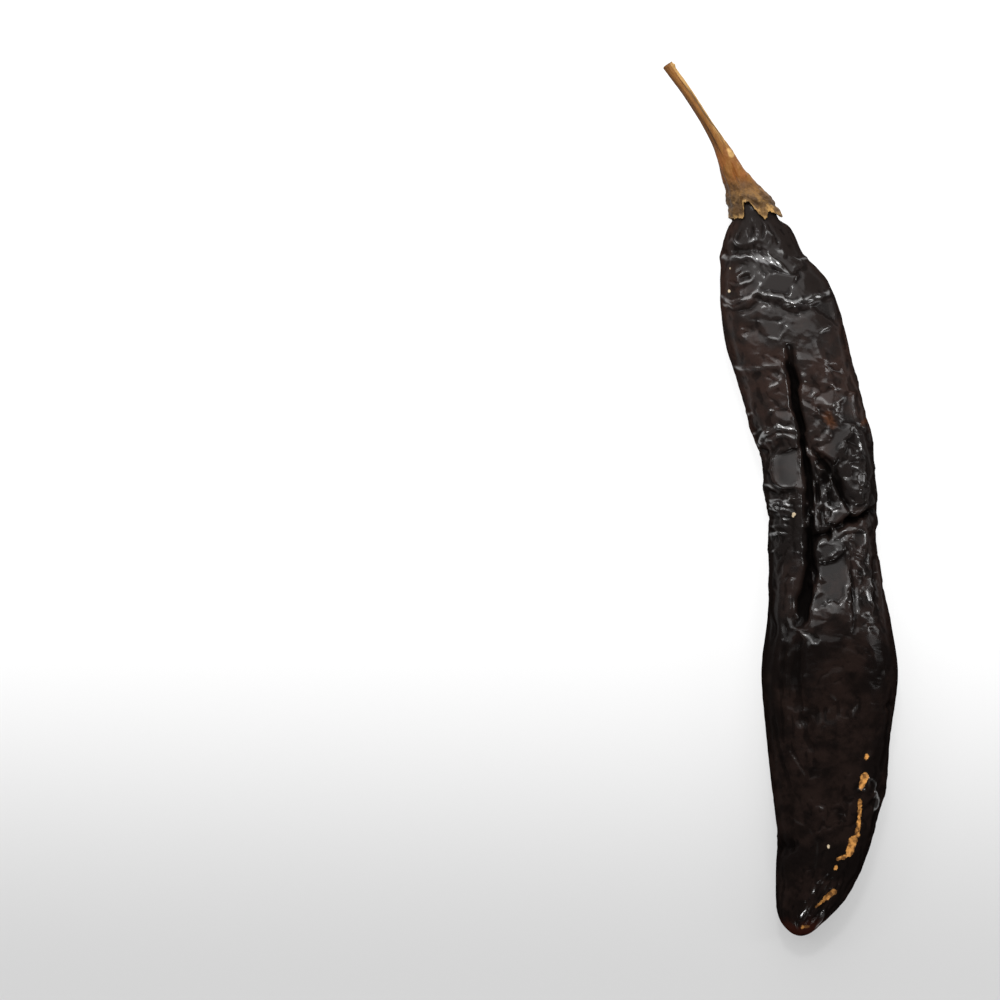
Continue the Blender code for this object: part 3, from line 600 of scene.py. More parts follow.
PATCH_CELLS = (22, 9)
PATCH_STRENGTH = 0.5
SPRING_SHARE = 0.1  # of a spring's error that is taken up in one step
SPRING_LEAST = 0.5  # a spring pushes back no harder than at this share of its length
CARRY = 0.8  # share of its last movement that a point keeps
SIDEWAYS_HOLD = 0.15
TURN_BLEND = 0.06  # turns over which one side's slack goes over into the next
TOP_RIGHT = (0.22, 0.56)  # turns
UNDERNEATH = (0.56, 0.94)
RIGHT_HALF = (0.22, 0.80)


def between_turns(low, high, turn):
    """1 between two places round the section and 0 elsewhere, with smooth changes."""
    entered = smooth_step(low - TURN_BLEND, low + TURN_BLEND, turn)
    left = smooth_step(high - TURN_BLEND, high + TURN_BLEND, turn)
    return entered * (1 - left)


def slack_shares(y, turn):
    """Shares of slack along and round the body: each side's values, weighed by how near it is."""
    rows = np.array(SLACK_ROWS)[::-1]
    knots = rows[:, 0]
    right = between_turns(*TOP_RIGHT, turn)
    under = between_turns(*UNDERNEATH, turn)
    weights = (1 - right - under, right, under)
    return [
        sum(weight * monotone_curve(knots, rows[:, first + 2 * k], y) for k, weight in enumerate(weights))
        for first in (1, 2)
    ]


def scattered_roofs():
    """Places and sizes of the roofs, a row for each: Y, turn, half length, the two parts of its direction,
    width, height, and where along it the top is. They lie across the pepper where the skin is slack along
    it, and along it where the skin is slack round it."""
    random = np.random.default_rng(ROOF_SEED)
    rows = []
    for kind in ROOFS:
        y = random.uniform(TIP_Y, NECK_Y, kind.number)
        turn = random.uniform(0.0, 1.0, kind.number)
        along, round_it = slack_shares(y, turn)
        lengthwise = random.uniform(0.0, 1.0, kind.number) < round_it / (along + round_it)
        angle = np.where(lengthwise, math.pi / 2, 0.0) + random.normal(0.0, kind.turned, kind.number)
        half_length = random.uniform(kind.shortest, kind.longest, kind.number) / 2
        width = half_length * random.uniform(ROOF_NARROW, ROOF_WIDE, kind.number)
        steepness = random.uniform(ROOF_LEAST_STEEP, 1.0, kind.number) * kind.slope
        sign = np.where(random.uniform(0.0, 1.0, kind.number) < RAISED_SHARE, 1.0, -1.0)
        top = random.uniform(-ROOF_TOP_STRAY, ROOF_TOP_STRAY, kind.number)
        rows.append(np.stack([y, turn, half_length, np.sin(angle), np.cos(angle), width,
                              sign * steepness * width, top], axis=-1))
    return np.concatenate(rows)


def roofs(y, turn, narrowest):
    """Height of many low roofs that lie at random over the skin, some of them turned over.

    Each stands on a straight line, which it follows in the skin rolled out flat. Its height is the smaller
    of two slopes, one along the line that peaks at its top, less the distance from the line in widths, so
    that it has flat sides, a sharp crest and pointed ends.
    """
    height = np.zeros(y.shape)
    down = y + ROOF_WANDER * cloud(y.shape, ROOF_WANDER_CELLS, ROOF_SEED + 1)
    across = turn * BODY_ROUND + ROOF_WANDER * cloud(y.shape, ROOF_WANDER_CELLS, ROOF_SEED + 2)
    for middle, middle_turn, half_length, up, sideways, width, rise, top in scattered_roofs():
        if width < narrowest:
            continue
        reach = half_length + 2 * ROOF_WANDER
        near_rows = np.abs(y[:, 0] - middle) < reach
        gap_round = np.abs((turn[0] - middle_turn + 0.5) % 1.0 - 0.5) * BODY_ROUND
        near = np.ix_(near_rows, gap_round < reach)
        offset_y = down[near] - middle
        offset_x = (across[near] - middle_turn * BODY_ROUND + BODY_ROUND / 2) % BODY_ROUND - BODY_ROUND / 2
        share = (offset_y * up + offset_x * sideways) / half_length
        beside = np.abs(offset_x * up - offset_y * sideways) / width
        slope = np.minimum((1 + share) / (1 + top), (1 - share) / (1 - top))
        height[near] += rise * np.maximum(slope - beside, 0.0)
    return height


def neighbour(points, along, round_it):
    """The net's points one step away, without the rings that have no neighbour there."""
    return np.roll(points, -round_it, axis=1)[along:]


def settle(points, body, outward, slack, hold, level):
    """The net of springs, moved step by step towards rest.

    Every link wants its length on the body times 1 + slack. Every point is also drawn to the straight line
    between its neighbours, which is the skin's stiffness, and back to the body, which is the flesh below.
    """
    rings = len(points)
    slack_along, slack_round = slack
    lengths = []
    for along, round_it in LINKS:
        share = along / (along + abs(round_it))
        looseness = slack_along * share + slack_round * (1 - share)
        span = neighbour(body, along, round_it) - body[:rings - along]
        lengths.append(np.linalg.norm(span, axis=2) * (1 + looseness[:rings - along]))
    rest_along = body[2:] - 2 * body[1:-1] + body[:-2]
    rest_round = np.roll(body, -1, 1) - 2 * body + np.roll(body, 1, 1)
    before = points.copy()
    for _ in range(level.steps):
        moved = (points - before) * CARRY
        before = points
        points = points + moved
        push = np.zeros_like(points)
        for (along, round_it), length in zip(LINKS, lengths):
            span = neighbour(points, along, round_it) - points[:rings - along]
            now = np.sqrt((span * span).sum(axis=2))
            pull = span * (SPRING_SHARE * (1 - length / np.maximum(now, SPRING_LEAST * length)))[..., None]
            push[:rings - along] += pull
            push[along:] -= np.roll(pull, round_it, axis=1)
        bend = level.bend * (points[2:] - 2 * points[1:-1] + points[:-2] - rest_along)
        push[1:-1] += bend
        push[:-2] -= bend / 2
        push[2:] -= bend / 2
        bend = level.bend * (np.roll(points, -1, 1) - 2 * points + np.roll(points, 1, 1) - rest_round)
        push += bend - (np.roll(bend, -1, 1) + np.roll(bend, 1, 1)) / 2
        offset = points - body
        height = (offset * outward).sum(axis=2, keepdims=True) * outward
        push -= hold[..., None] * (height + SIDEWAYS_HOLD * (offset - height))
        points = points + push
        points[..., 2] = np.maximum(points[..., 2], 0.0)
    return points


# %% [markdown]
# The net is relaxed twice, the second time on a finer net that starts from where the first came to rest.
# The finest net isn't relaxed: it takes over how far the skin moved, and adds the folds and roofs at full
# sharpness. Near the calyx and the tip the skin is drawn tight, and it is also held down where the pepper
# lies on the table.

# %% Relax the net, coarse to fine
NECK_SMOOTH_ABOVE_Y = 62.5
NECK_WRINKLED_BELOW_Y = 59.5
TIP_FADE_LENGTH = 6.0
REST_FADE_LOW = 0.2
REST_FADE_HIGH = 2.2
TIGHT_HOLD = 0.5
HOLLOW_ROUNDS = 5
LEAST_FREE = 0.25  # share of the slack that is left where the pepper lies on the table
Cover = namedtuple("Cover", "y turn smooth outward folded loose free flat crumpled ridge shares")
Skin = namedtuple("Skin", "points relief crumpled ridge flat hollow turn")


def folded_body(rings, sides, narrowest):
    """The net's places, the smooth body there with its outward directions, and the folded body, with how
    loose, free, flat and crumpled the skin is at each place and how much of its slack runs each way."""
    y, turn = net_places(rings, sides)
    smooth = pod_body(y, turn)
    outward = net_normals(smooth)
    loose = smooth_step(NECK_SMOOTH_ABOVE_Y, NECK_WRINKLED_BELOW_Y, y)
    loose *= smooth_step(TIP_Y, TIP_Y + TIP_FADE_LENGTH, y)
    lifted = smooth_step(REST_FADE_LOW, REST_FADE_HIGH, smooth[..., 2])
    shares = slack_shares(y, turn)
    folds, ridge = fold_relief(smooth, narrowest)
    panels, flat = flat_panels(smooth, turn)
    knots, on_left, on_right = np.array(CRUMPLE_ROWS)[::-1].T
    right = between_turns(*RIGHT_HALF, turn)
    crumpled = monotone_curve(knots, on_left, y) * (1 - right) + monotone_curve(knots, on_right, y) * right
    crumpled *= 1 - flat
    folds *= 1 - flat * smooth_step(DEEP_FOLD, SHALLOW_FOLD, np.abs(folds))
    crumpled *= 1 - FOLD_CALM * smooth_step(SHALLOW_FOLD, DEEP_FOLD, np.abs(folds))
    crumpled *= 1 - RIM_CALM * np.abs(np.cos(math.tau * turn)) ** RIM_CALM_POWER
    crumples = crumpled * roofs(y, turn, narrowest)
    relief = (folds + crumples + panels) * loose * lifted
    folded = smooth + outward * relief[..., None]
    free = loose * (LEAST_FREE + (1 - LEAST_FREE) * lifted) * (1 - flat)
    return Cover(y, turn, smooth, outward, folded, loose, free, flat, crumpled, ridge, shares)


def hollowness(relief):
    """How far each place lies below the skin close round it, from a mean taken many times over."""
    around = relief
    for _ in range(HOLLOW_ROUNDS):
        along = (np.roll(around, 1, axis=0) + around + np.roll(around, -1, axis=0)) / 3
        around = (np.roll(along, 1, axis=1) + along + np.roll(along, -1, axis=1)) / 3
    return around - relief


def crumpled_skin():
    """Points of the finished skin over the finest net, and how far each lies above the smooth body."""
    drift = np.zeros((LEVELS[0].rings, LEVELS[0].sides, 3))
    for level in LEVELS:
        cover = folded_body(level.rings, level.sides, NARROW_FOLD)
        shape = cover.y.shape
        uneven = level.slack * cover.free * (1 + PATCH_STRENGTH * cloud(shape, PATCH_CELLS, PATCH_SEED))
        hold = level.hold + TIGHT_HOLD * (1 - cover.loose) + PANEL_HOLD * cover.flat
        noise = level.noise * cover.loose * cloud(shape, NOISE_CELLS, CRUMPLE_SEED)
        start = cover.folded + resample(drift, *shape) + cover.outward * noise[..., None]
        slack = [share * uneven for share in cover.shares]
        drift = settle(start, cover.folded, cover.outward, slack, hold, level) - cover.folded
    cover = folded_body(FINE_RINGS, FINE_SIDES, 0.0)
    points = cover.folded + resample(drift, FINE_RINGS, FINE_SIDES)
    points[..., 2] = np.maximum(points[..., 2], 0.0)
    relief = ((points - cover.smooth) * cover.outward).sum(axis=2)
    print("skin", points.shape, "relief", relief.min(), relief.max())
    return Skin(points, relief, cover.crumpled, cover.ridge, cover.flat, hollowness(relief), cover.turn)


# %% [markdown]
# A net becomes a mesh when each point is joined to its neighbours along and round. Its two ends are closed
# by a fan of triangles to a middle point, because a finished piece has no open edge. Numbers such as the
# relief ride along as the mesh's own attributes, which the finish reads.

# %% Put a net into a mesh
def net_mesh(name, points, near_cap, far_cap):
    """A closed mesh of the net: four-sided faces between rings, and a fan to a middle point at each end."""
    rings, sides = points.shape[:2]
    numbers = np.arange(rings * sides).reshape(rings, sides)
    beside = np.roll(numbers, -1, axis=1)
    quads = np.stack([numbers[:-1], numbers[1:], beside[1:], beside[:-1]], axis=-1).reshape(-1, 4)
    near, far = rings * sides, rings * sides + 1
    near_fan = np.stack([numbers[0], beside[0], np.full(sides, near)], axis=-1)
    far_fan = np.stack([beside[-1], numbers[-1], np.full(sides, far)], axis=-1)
    places = np.concatenate([points.reshape(-1, 3), [near_cap, far_cap]])
    mesh = bpy.data.meshes.new(name)
    faces = quads.tolist() + near_fan.tolist() + far_fan.tolist()
    mesh.from_pydata(((places + FRAME_SHIFT) * MM).tolist(), [], faces)
    mesh.shade_smooth()
    piece = bpy.data.objects.new(name, mesh)
    bpy.context.scene.collection.objects.link(piece)
    print(name, len(mesh.vertices), "points", len(mesh.polygons), "faces")
    return piece


def note(piece, name, values):
    """Keeps one number for each of the net's points on the mesh, for the finish to read. The end points
    get the mean of the ring beside them."""
    ends = [values[0].mean(), values[-1].mean()]
    attribute = piece.data.attributes.new(name, "FLOAT", "POINT")
    attribute.data.foreach_set("value", np.concatenate([values.ravel(), ends]).astype(np.float32))


skin = crumpled_skin()
pod_skin = net_mesh("pod_skin", skin.points, skin.points[0].mean(axis=0), skin.points[-1].mean(axis=0))
for value in ("relief", "crumpled", "ridge", "flat", "hollow"):
    note(pod_skin, value, getattr(skin, value))

# %% [markdown]
# ## Worn patches
# Near the tip the dark skin has split along a line and shows the amber flesh below it, a few cream specks
# of seed and scar sit higher up, and the light shows orange through the skin in two places. They are marks
# in the surface, so each is a short thick line on the skin. The mesh keeps how far every point lies from
# the edge of the nearest one, less than 0 inside it, and the finish colours by that.

# %% Worn patches and specks
Mark = namedtuple("Mark", "name points radius end_radius")
AMBER_MARKS = (
    Mark("dot_above", ((18.3, -56.0), (18.2, -56.2)), 0.5, 0.45),
    Mark("diamond", ((17.9, -60.3), (17.1, -62.6)), 0.85, 0.6),
    Mark("chain_top", ((16.9, -65.7), (16.8, -69.3)), 0.45, 0.4),
    Mark("chain_low", ((16.8, -69.9), (16.3, -73.4)), 0.45, 0.5),
    Mark("wide_part", ((15.5, -74.2), (14.6, -77.2)), 0.95, 0.8),
    Mark("foot", ((13.8, -77.9), (12.0, -78.4)), 0.5, 0.3),
    Mark("dot_below", ((11.7, -80.3), (11.6, -80.5)), 0.42, 0.38),
    Mark("low_part", ((11.3, -85.9), (9.6, -87.2)), 0.75, 0.5),
    Mark("low_tail", ((9.3, -87.5), (7.6, -89.2)), 0.4, 0.22),
    Mark("tip", ((4.8, -93.8), (6.2, -93.6)), 0.4, 0.28),
)
CREAM_MARKS = (
    Mark("shoulder_upper", ((-11.3, 50.8), (-11.3, 50.7)), 0.16, 0.14),
    Mark("shoulder_lower", ((-11.6, 45.8), (-11.5, 45.6)), 0.28, 0.26),
    Mark("by_the_groove", ((2.4, -3.1), (2.3, -3.5)), 0.42, 0.3),
    Mark("by_the_tip", ((10.0, -75.6), (10.0, -75.8)), 0.32, 0.3),
)
TINTS = (
    Mark("on_the_lobe", ((9.6, 18.4), (10.9, 16.2)), 0.9, 0.6),
    Mark("at_the_edge", ((17.6, 16.9), (18.9, 17.6)), 0.35, 0.3),
)
FAR = 20.0  # millimetres, for what lies beyond every mark


def distance_to_marks(points, marks):
    """Distance of the skin's points to the nearest mark's edge, seen from above, less than 0 within it."""
    places = points.reshape(-1, 3)
    near = np.full(len(places), FAR)
    for mark in marks:
        gap, along = measure_to_line(places[:, :2], np.array(mark.points))
        near = np.minimum(near, gap - (mark.radius + (mark.end_radius - mark.radius) * along))
    return near.reshape(points.shape[:2])


on_top = skin.turn < 0.5
for value, marks in (("worn", AMBER_MARKS), ("speck", CREAM_MARKS), ("tint", TINTS)):
    note(pod_skin, value, np.where(on_top, distance_to_marks(skin.points, marks), FAR))
    print(value, len(marks), "marks")

# %% [markdown]
# ## The stalk and calyx
# The stalk is a bundle of woody strands with furrows between them. It widens into the calyx, a dry cup
# whose rim has torn into lobes round the neck. Like the pod it is a tube of sections, closed by its cut
# end at the top and turned in over the rim at the bottom, so that the torn edge has a thickness.

# %% Sections of the stalk
Ring = namedtuple("Ring", "y x z half_width half_height")
STALK_SECTIONS = (
    Ring(95.2, -24.95, 11.2, 1.12, 1.1),
    Ring(93.6, -23.8, 11.3, 1.12, 1.1),
    Ring(89.8, -21.0, 11.4, 1.05, 1.0),
    Ring(84.5, -17.5, 11.3, 1.05, 1.05),
    Ring(79.2, -14.25, 10.9, 1.4, 1.3),
    Ring(75.7, -12.4, 10.4, 1.9, 1.7),
    Ring(72.2, -10.75, 9.8, 2.5, 2.4),
    Ring(68.6, -8.5, 9.1, 3.6, 3.4),
    Ring(65.1, -6.5, 8.7, 5.2, 4.7),
    Ring(61.6, -5.4, 8.6, 5.95, 5.3),
)
STALK_SLANT = 33.0  # degrees by which the far sections turn to stand square to the stalk
SLANT_STARTS_Y = 63.0
SLANT_ENDS_Y = 80.0
STRANDS = 5
STRAND_HEIGHT = 0.10  # share of the radius
STRAND_TWIST = 0.012  # turns for each millimetre
RIM_Y = 61.6
RIM_REACH = 6.0  # the sections above the rim follow its teeth over this length
RIM_EDGE = (  # turn, and how far the torn edge lies above the rim's line
    (0.00, 0.5), (0.04, 0.2), (0.10, 0.1), (0.17, 0.1), (0.18, 3.2), (0.195, 3.7), (0.222, 3.8),
    (0.232, 3.3), (0.243, 2.7), (0.26, 1.5), (0.275, 0.6), (0.29, -0.2), (0.303, -0.1), (0.317, 0.9),
    (0.338, 1.5), (0.367, 1.4), (0.42, 0.9), (0.45, 0.8), (0.50, 0.6), (0.56, 1.6), (0.60, 2.4),
    (0.66, 0.2), (0.72, -0.3), (0.77, 1.9), (0.81, 2.2), (0.86, 0.3), (0.93, 0.1), (1.00, 0.5),
)
RIM_JAGS = 0.22
JAG_WAVES = (31, 13, 67)  # how many run round the rim
CUP_GAP = 0.32  # between the pod's neck and the inside of the calyx


def rim_height(turn):
    """How far the torn edge lies above the rim's line, with small jags on it."""
    places, heights = np.array(RIM_EDGE).T
    quick, slow, fine = (math.tau * waves * turn for waves in JAG_WAVES)
    jags = np.sin(quick) * np.sin(slow + 1.0) + 0.5 * np.sin(fine)
    return np.interp(turn % 1.0, places, heights) + RIM_JAGS * jags


def stalk_body(y, turn):
    """Points on the smooth outside of the stalk and calyx. Its sections are ellipses, which turn to stand
    square to the stalk where it leans."""
    knots, x, z, half_width, half_height = np.array(STALK_SECTIONS)[::-1].T
    slant = math.radians(STALK_SLANT) * smooth_step(SLANT_STARTS_Y, SLANT_ENDS_Y, y)
    across = -monotone_curve(knots, half_width, y) * np.cos(math.tau * turn)
    return np.stack([
        monotone_curve(knots, x, y) + across * np.cos(slant),
        y + across * np.sin(slant),
        monotone_curve(knots, z, y) + monotone_curve(knots, half_height, y) * np.sin(math.tau * turn),
    ], axis=-1)


# %% [markdown]
# The strands are round ridges with creased furrows between them, so their profile is the size of a cosine.
# They fade into the calyx, where soft veins and lumps take their place. A few marks are placed one by one:
# the furrow and the pale strand beside it, the forked ridge where the stalk widens, the scar, and the nub
# at the cut end.

# %% Relief of the stalk
StalkMark = namedtuple("StalkMark", "name points height width")
STALK_MARKS = (  # raised, or sunk where the height is below 0
    StalkMark("long_furrow",
              ((-22.9, 93.0), (-19.4, 88.7), (-15.9, 83.7), (-13.4, 80.4), (-12.1, 76.9)), -0.42, 0.42),
    StalkMark("left_furrow", ((-20.6, 88.0), (-16.6, 82.0), (-13.6, 76.0), (-12.1, 70.0)), -0.25, 0.5),
    StalkMark("fork_left", ((-11.9, 75.4), (-10.9, 72.0), (-9.5, 68.4)), 0.30, 0.30),
    StalkMark("fork_right", ((-11.6, 75.2), (-10.2, 72.6), (-9.4, 71.0)), 0.28, 0.28),
    StalkMark("fork_valley", ((-11.4, 74.4), (-10.0, 70.5), (-8.8, 67.8)), -0.22, 0.28),
    StalkMark("bump_upper", ((-9.6, 73.4), (-9.0, 72.4)), 0.30, 0.40),
    StalkMark("bump_lower", ((-8.6, 71.8), (-7.6, 70.8)), 0.28, 0.42),
    StalkMark("scar", ((-11.6, 76.7), (-11.0, 75.7)), 0.28, 0.55),
    StalkMark("nub", ((-23.7, 95.3), (-23.6, 95.2)), 0.55, 0.42),
    StalkMark("step_by_notch", ((-6.6, 65.4), (-4.4, 66.0), (-2.6, 65.2)), 0.22, 0.40),
)
STALK_CLOUDS = (  # places along and round, and height: long streaks on the stalk, then lumps and wrinkles
    ((9, 44), 0.035), ((40, 90), 0.018),
)
CALYX_CLOUDS = (((26, 17), 0.16), ((60, 44), 0.07), ((120, 90), 0.03))
STREAKS = (7, 60)  # places along and round, for the colour's streaks
STREAK_SEED, STALK_SEED, CALYX_SEED = 60, 40, 50
STRAND_LEVEL = 0.6  # the part of a strand's profile that lies below the smooth stalk
VEINS = 10
VEIN_HEIGHT = 0.10
WOOD_STARTS = (66.0, 76.0)  # Y over which the calyx goes over into the stalk
VEINS_START = (60.5, 66.0)
VEINS_END = (78.0, 68.0)
MARK_ENDS = (0.08, 0.92)  # keeps a mark's ends a little raised


def stalk_relief(y, turn, body):
    """Height in millimetres that strands, veins, lumps and marks add to the smooth stalk."""
    on_stalk = smooth_step(*WOOD_STARTS, y)
    knots, half_width = np.array(STALK_SECTIONS)[::-1][:, [0, 3]].T
    radius = monotone_curve(knots, half_width, y)
    phase = turn + STRAND_TWIST * y
    strands = STRAND_HEIGHT * radius * (np.abs(np.cos(np.pi * STRANDS * phase)) - STRAND_LEVEL) * on_stalk
    veins = VEIN_HEIGHT * np.cos(math.tau * VEINS * turn)
    veins = veins * smooth_step(*VEINS_END, y) * smooth_step(*VEINS_START, y)
    streaks = layered_clouds(y.shape, STALK_CLOUDS, STALK_SEED)
    lumps = layered_clouds(y.shape, CALYX_CLOUDS, CALYX_SEED)
    height = strands + veins + streaks * on_stalk + lumps * (1 - on_stalk)
    for mark in STALK_MARKS:
        gap, along = measure_to_line(body.reshape(-1, 3)[:, :2], np.array(mark.points))
        fade = np.sin(np.pi * np.clip(along, *MARK_ENDS)) ** FOLD_END_POWER
        bell = mark.height * fade * np.exp(-(gap / mark.width) ** 2)
        height += np.where(turn < 0.5, bell.reshape(y.shape), 0.0)
    return height


# %% [markdown]
# The stalk's surface is one long net. It starts in the middle of the cut end, runs down over the outside to
# the torn rim, and turns up into the cup, so that the calyx has a thickness and no open edge.

# %% The stalk's net
STALK_RINGS = 330
STALK_SIDES = 200
CUP_RINGS = 30
END_RINGS = 8
END_HOLLOW = 0.35  # millimetres
PITH = 0.3  # share of the radius, with a step of the same depth round it
STALK_TOP_Y = STALK_SECTIONS[0].y
StalkNet = namedtuple("StalkNet", "points relief cut rim streak side")


def woody_surface():
    """The closed surface of stalk and calyx: from the middle of the cut end, over the outside to the torn
    rim, and up the cup inside it."""
    turn = np.arange(STALK_SIDES) / STALK_SIDES
    down = np.linspace(0.0, 1.0, STALK_RINGS)[:, None]
    plain_y = STALK_TOP_Y + (RIM_Y - STALK_TOP_Y) * down + 0 * turn
    turn = turn + 0 * plain_y
    y = plain_y + rim_height(turn) * smooth_step(RIM_Y + RIM_REACH, RIM_Y, plain_y)
    body = stalk_body(y, turn)
    height = stalk_relief(y, turn, body)
    outside = body + net_normals(body) * height[..., None]
    middle = outside[0].mean(axis=0)
    inwards = (np.arange(END_RINGS) + 0.5)[:, None, None] / END_RINGS
    cut_end = middle + (outside[0] - middle) * inwards
    cut_end[..., 1] -= END_HOLLOW * (1 - inwards[..., 0] ** 2 - (inwards[..., 0] > PITH))
    up = np.linspace(0.0, 1.0, CUP_RINGS + 1)[1:, None]
    edge_y = y[-1]
    inside_y = edge_y + (NECK_Y - edge_y) * np.sin(up * np.pi / 2)
    middle_x, middle_z, half_width, half_height = pod_section(inside_y)
    angle = math.tau * turn[:CUP_RINGS]
    inside = np.stack([
        middle_x - (half_width + CUP_GAP) * full_round(np.cos(angle)),
        inside_y + CUP_GAP * up,
        middle_z + (half_height + CUP_GAP) * full_round(np.sin(angle)),
    ], axis=-1)
    points = np.concatenate([cut_end, outside, inside])
    at_end, in_cup = np.zeros((END_RINGS, STALK_SIDES)), np.zeros((CUP_RINGS, STALK_SIDES))
    relief = np.concatenate([at_end, height, in_cup])
    cut = np.concatenate([at_end + 1, 0 * y, in_cup])
    rim = np.concatenate([at_end + FAR, y - edge_y, in_cup])
    side = -np.cos(math.tau * turn[0]) + 0 * relief
    return StalkNet(points, relief, cut, rim, cloud(points.shape, STREAKS, STREAK_SEED), side)


stalk_net = woody_surface()
stalk_ends = [stalk_net.points[end].mean(axis=0) for end in (0, -1)]
stalk = net_mesh("stalk_skin", stalk_net.points, *stalk_ends)
for value in ("relief", "cut", "rim", "streak", "side"):
    note(stalk, value, getattr(stalk_net, value))
# The scar's height and width also serve as the two radii, in millimetres, of the patch of its colour.
scars = [Mark(*mark) for mark in STALK_MARKS if mark.name == "scar"]
note(stalk, "scar", distance_to_marks(stalk_net.points, scars))

# %% [markdown]
# ## Maths on shader sockets
# A material is a net of nodes, and most of them only do arithmetic. A small class wraps a node's output,
# so that the arithmetic can be written as arithmetic.

# %% Wires and nodes
class Wire:
    """One output of a node. Arithmetic on it adds Math nodes to the same material."""

    def __init__(self, material, socket):
        self.material = material
        self.socket = socket

    def calculate(self, operation, first, second):
        """The output of a Math node that works on the two."""
        return self.material.node("ShaderNodeMath", {"operation": operation}, {0: first, 1: second})

    def __add__(self, other):
        return self.calculate("ADD", self, other)

    def __sub__(self, other):
        return self.calculate("SUBTRACT", self, other)

    def __rsub__(self, other):
        return self.calculate("SUBTRACT", other, self)

    def __mul__(self, other):
        return self.calculate("MULTIPLY", self, other)

    __radd__ = __add__
    __rmul__ = __mul__


class Finish:
    """A material under construction: its Principled shader, and a method that adds any other node."""

    def __init__(self, name, **constants):
        self.material = bpy.data.materials.new(name)
        self.material.use_nodes = True
        self.tree = self.material.node_tree
        self.shader = self.tree.nodes["Principled BSDF"]
        for socket, value in constants.items():
            self.shader.inputs[socket.replace("_", " ")].default_value = value

    def node(self, kind, settings, values, output=0):
        """A node of that kind: its settings are made first, then the values or links of its sockets."""
        added = self.tree.nodes.new(kind)
        for setting, value in settings.items():
            setattr(added, setting, value)
        for socket, value in values.items():
            if isinstance(value, Wire):
                self.tree.links.new(value.socket, added.inputs[socket])
            else:
                added.inputs[socket].default_value = value
        return Wire(self, added.outputs[output])

    def feed(self, socket, wire):
        """Links a wire to one of the Principled shader's sockets."""
        self.tree.links.new(wire.socket, self.shader.inputs[socket])

    def show(self, wire):
        """Makes a shader the one that the surface shows."""
        self.tree.links.new(wire.socket, self.tree.nodes["Material Output"].inputs["Surface"])

    def place(self, stretch=(1.0, 1.0, 1.0)):
        """The point's place on the object, in metres, multiplied by a number for each axis."""
        place = self.node("ShaderNodeTexCoord", {}, {}, "Object")
        if stretch == (1.0, 1.0, 1.0):
            return place
        return self.node("ShaderNodeVectorMath", {"operation": "MULTIPLY"}, {0: place, 1: stretch})

    def axis(self, name):
        """One coordinate of the point's place on the object."""
        return self.node("ShaderNodeSeparateXYZ", {}, {0: self.place()}, name)

    def own(self, name):
        """The piece's own attribute of that name."""
        return self.node("ShaderNodeAttribute", {"attribute_name": name}, {}, "Fac")

    def noise(self, scale, detail=3.0, roughness=0.5, kind="FBM", place=None, output=0):
        """Soft random values from 0 to 1, with so many changes for each metre."""
        values = {"Vector": place or self.place(), "Scale": scale, "Detail": detail, "Roughness": roughness}
        return self.node("ShaderNodeTexNoise", {"noise_type": kind}, values, output)

    def strayed(self, scale, size):
        """Places moved to and fro by soft noise, so that what is drawn from them has wandering edges."""
        place = self.place()
        drift = self.noise(scale, detail=2.0, place=place, output="Color")
        drift = self.node("ShaderNodeVectorMath", {"operation": "SUBTRACT"}, {0: drift, 1: (0.5, 0.5, 0.5)})
        drift = self.node("ShaderNodeVectorMath", {"operation": "SCALE"}, {0: drift, "Scale": size})
        return self.node("ShaderNodeVectorMath", {"operation": "ADD"}, {0: place, 1: drift})

    def cells(self, scale, place):
        """Distance to the nearest of many scattered middles, in cells. It is measured by the longest of
        the three coordinates and not straight, so that it rises from each middle in flat facets."""
        values = {"Vector": place, "Scale": scale}
        return self.node("ShaderNodeTexVoronoi", {"distance": "CHEBYCHEV"}, values, "Distance")

    def between(self, low, high, value):
        """0 where the value is low, 1 where it is high, and a smooth rise between."""
        values = {"Value": value, "From Min": low, "From Max": high}
        return self.node("ShaderNodeMapRange", {"interpolation_type": "SMOOTHSTEP"}, values, 0)

    def mix(self, factor, first, second):
        """A colour between two others."""
        values = {"Factor": factor, 6: first, 7: second}
        return self.node("ShaderNodeMix", {"data_type": "RGBA"}, values, 2)

    def layered(self, colour, layers):
        """Colours laid over one another: each layer has a mask, how strongly it shows, and its colour."""
        for mask, share, over in layers:
            colour = self.mix(mask * share, colour, over)
        return colour

    def bump(self, height, distance, normal=None):
        """The surface's direction, tilted as if the height were there, over an earlier one if given."""
        values = {"Height": height, "Distance": distance}
        if normal:
            values["Normal"] = normal
        return self.node("ShaderNodeBump", {}, values, 0)


# %% [markdown]
# ## The dried skin
# The skin is nearly black with a brown cast, browner towards the shoulder, and waxy. Its colour is also
# painted lighter towards the shoulder and near black over the lower half, as painted light and shade for
# the large light beyond the stalk, and painted darker in the grooves and hollows, as painted shade. Its
# gloss is what shows its crumples. So its waxy shader is fairly smooth, which lets each flat facet mirror
# one even patch of the large light, and a clear coat is strong only on the sharp ridges, where it draws
# the white lines. A second, dull shader takes over where the real skin shows no light: in the grooves and
# hollows, on the worn flesh, on most of the lower half, and at the rims, where a waxy shader alone would
# mirror the pale floor.

# %% Skin colours
SKIN_BLACK = (0.0050, 0.0034, 0.0030, 1.0)
SKIN_CHARCOAL = (0.017, 0.0128, 0.0115, 1.0)
SKIN_BROWN = (0.031, 0.0180, 0.0145, 1.0)
SKIN_RED = (0.060, 0.014, 0.008, 1.0)
SKIN_ORANGE = (0.150, 0.052, 0.018, 1.0)
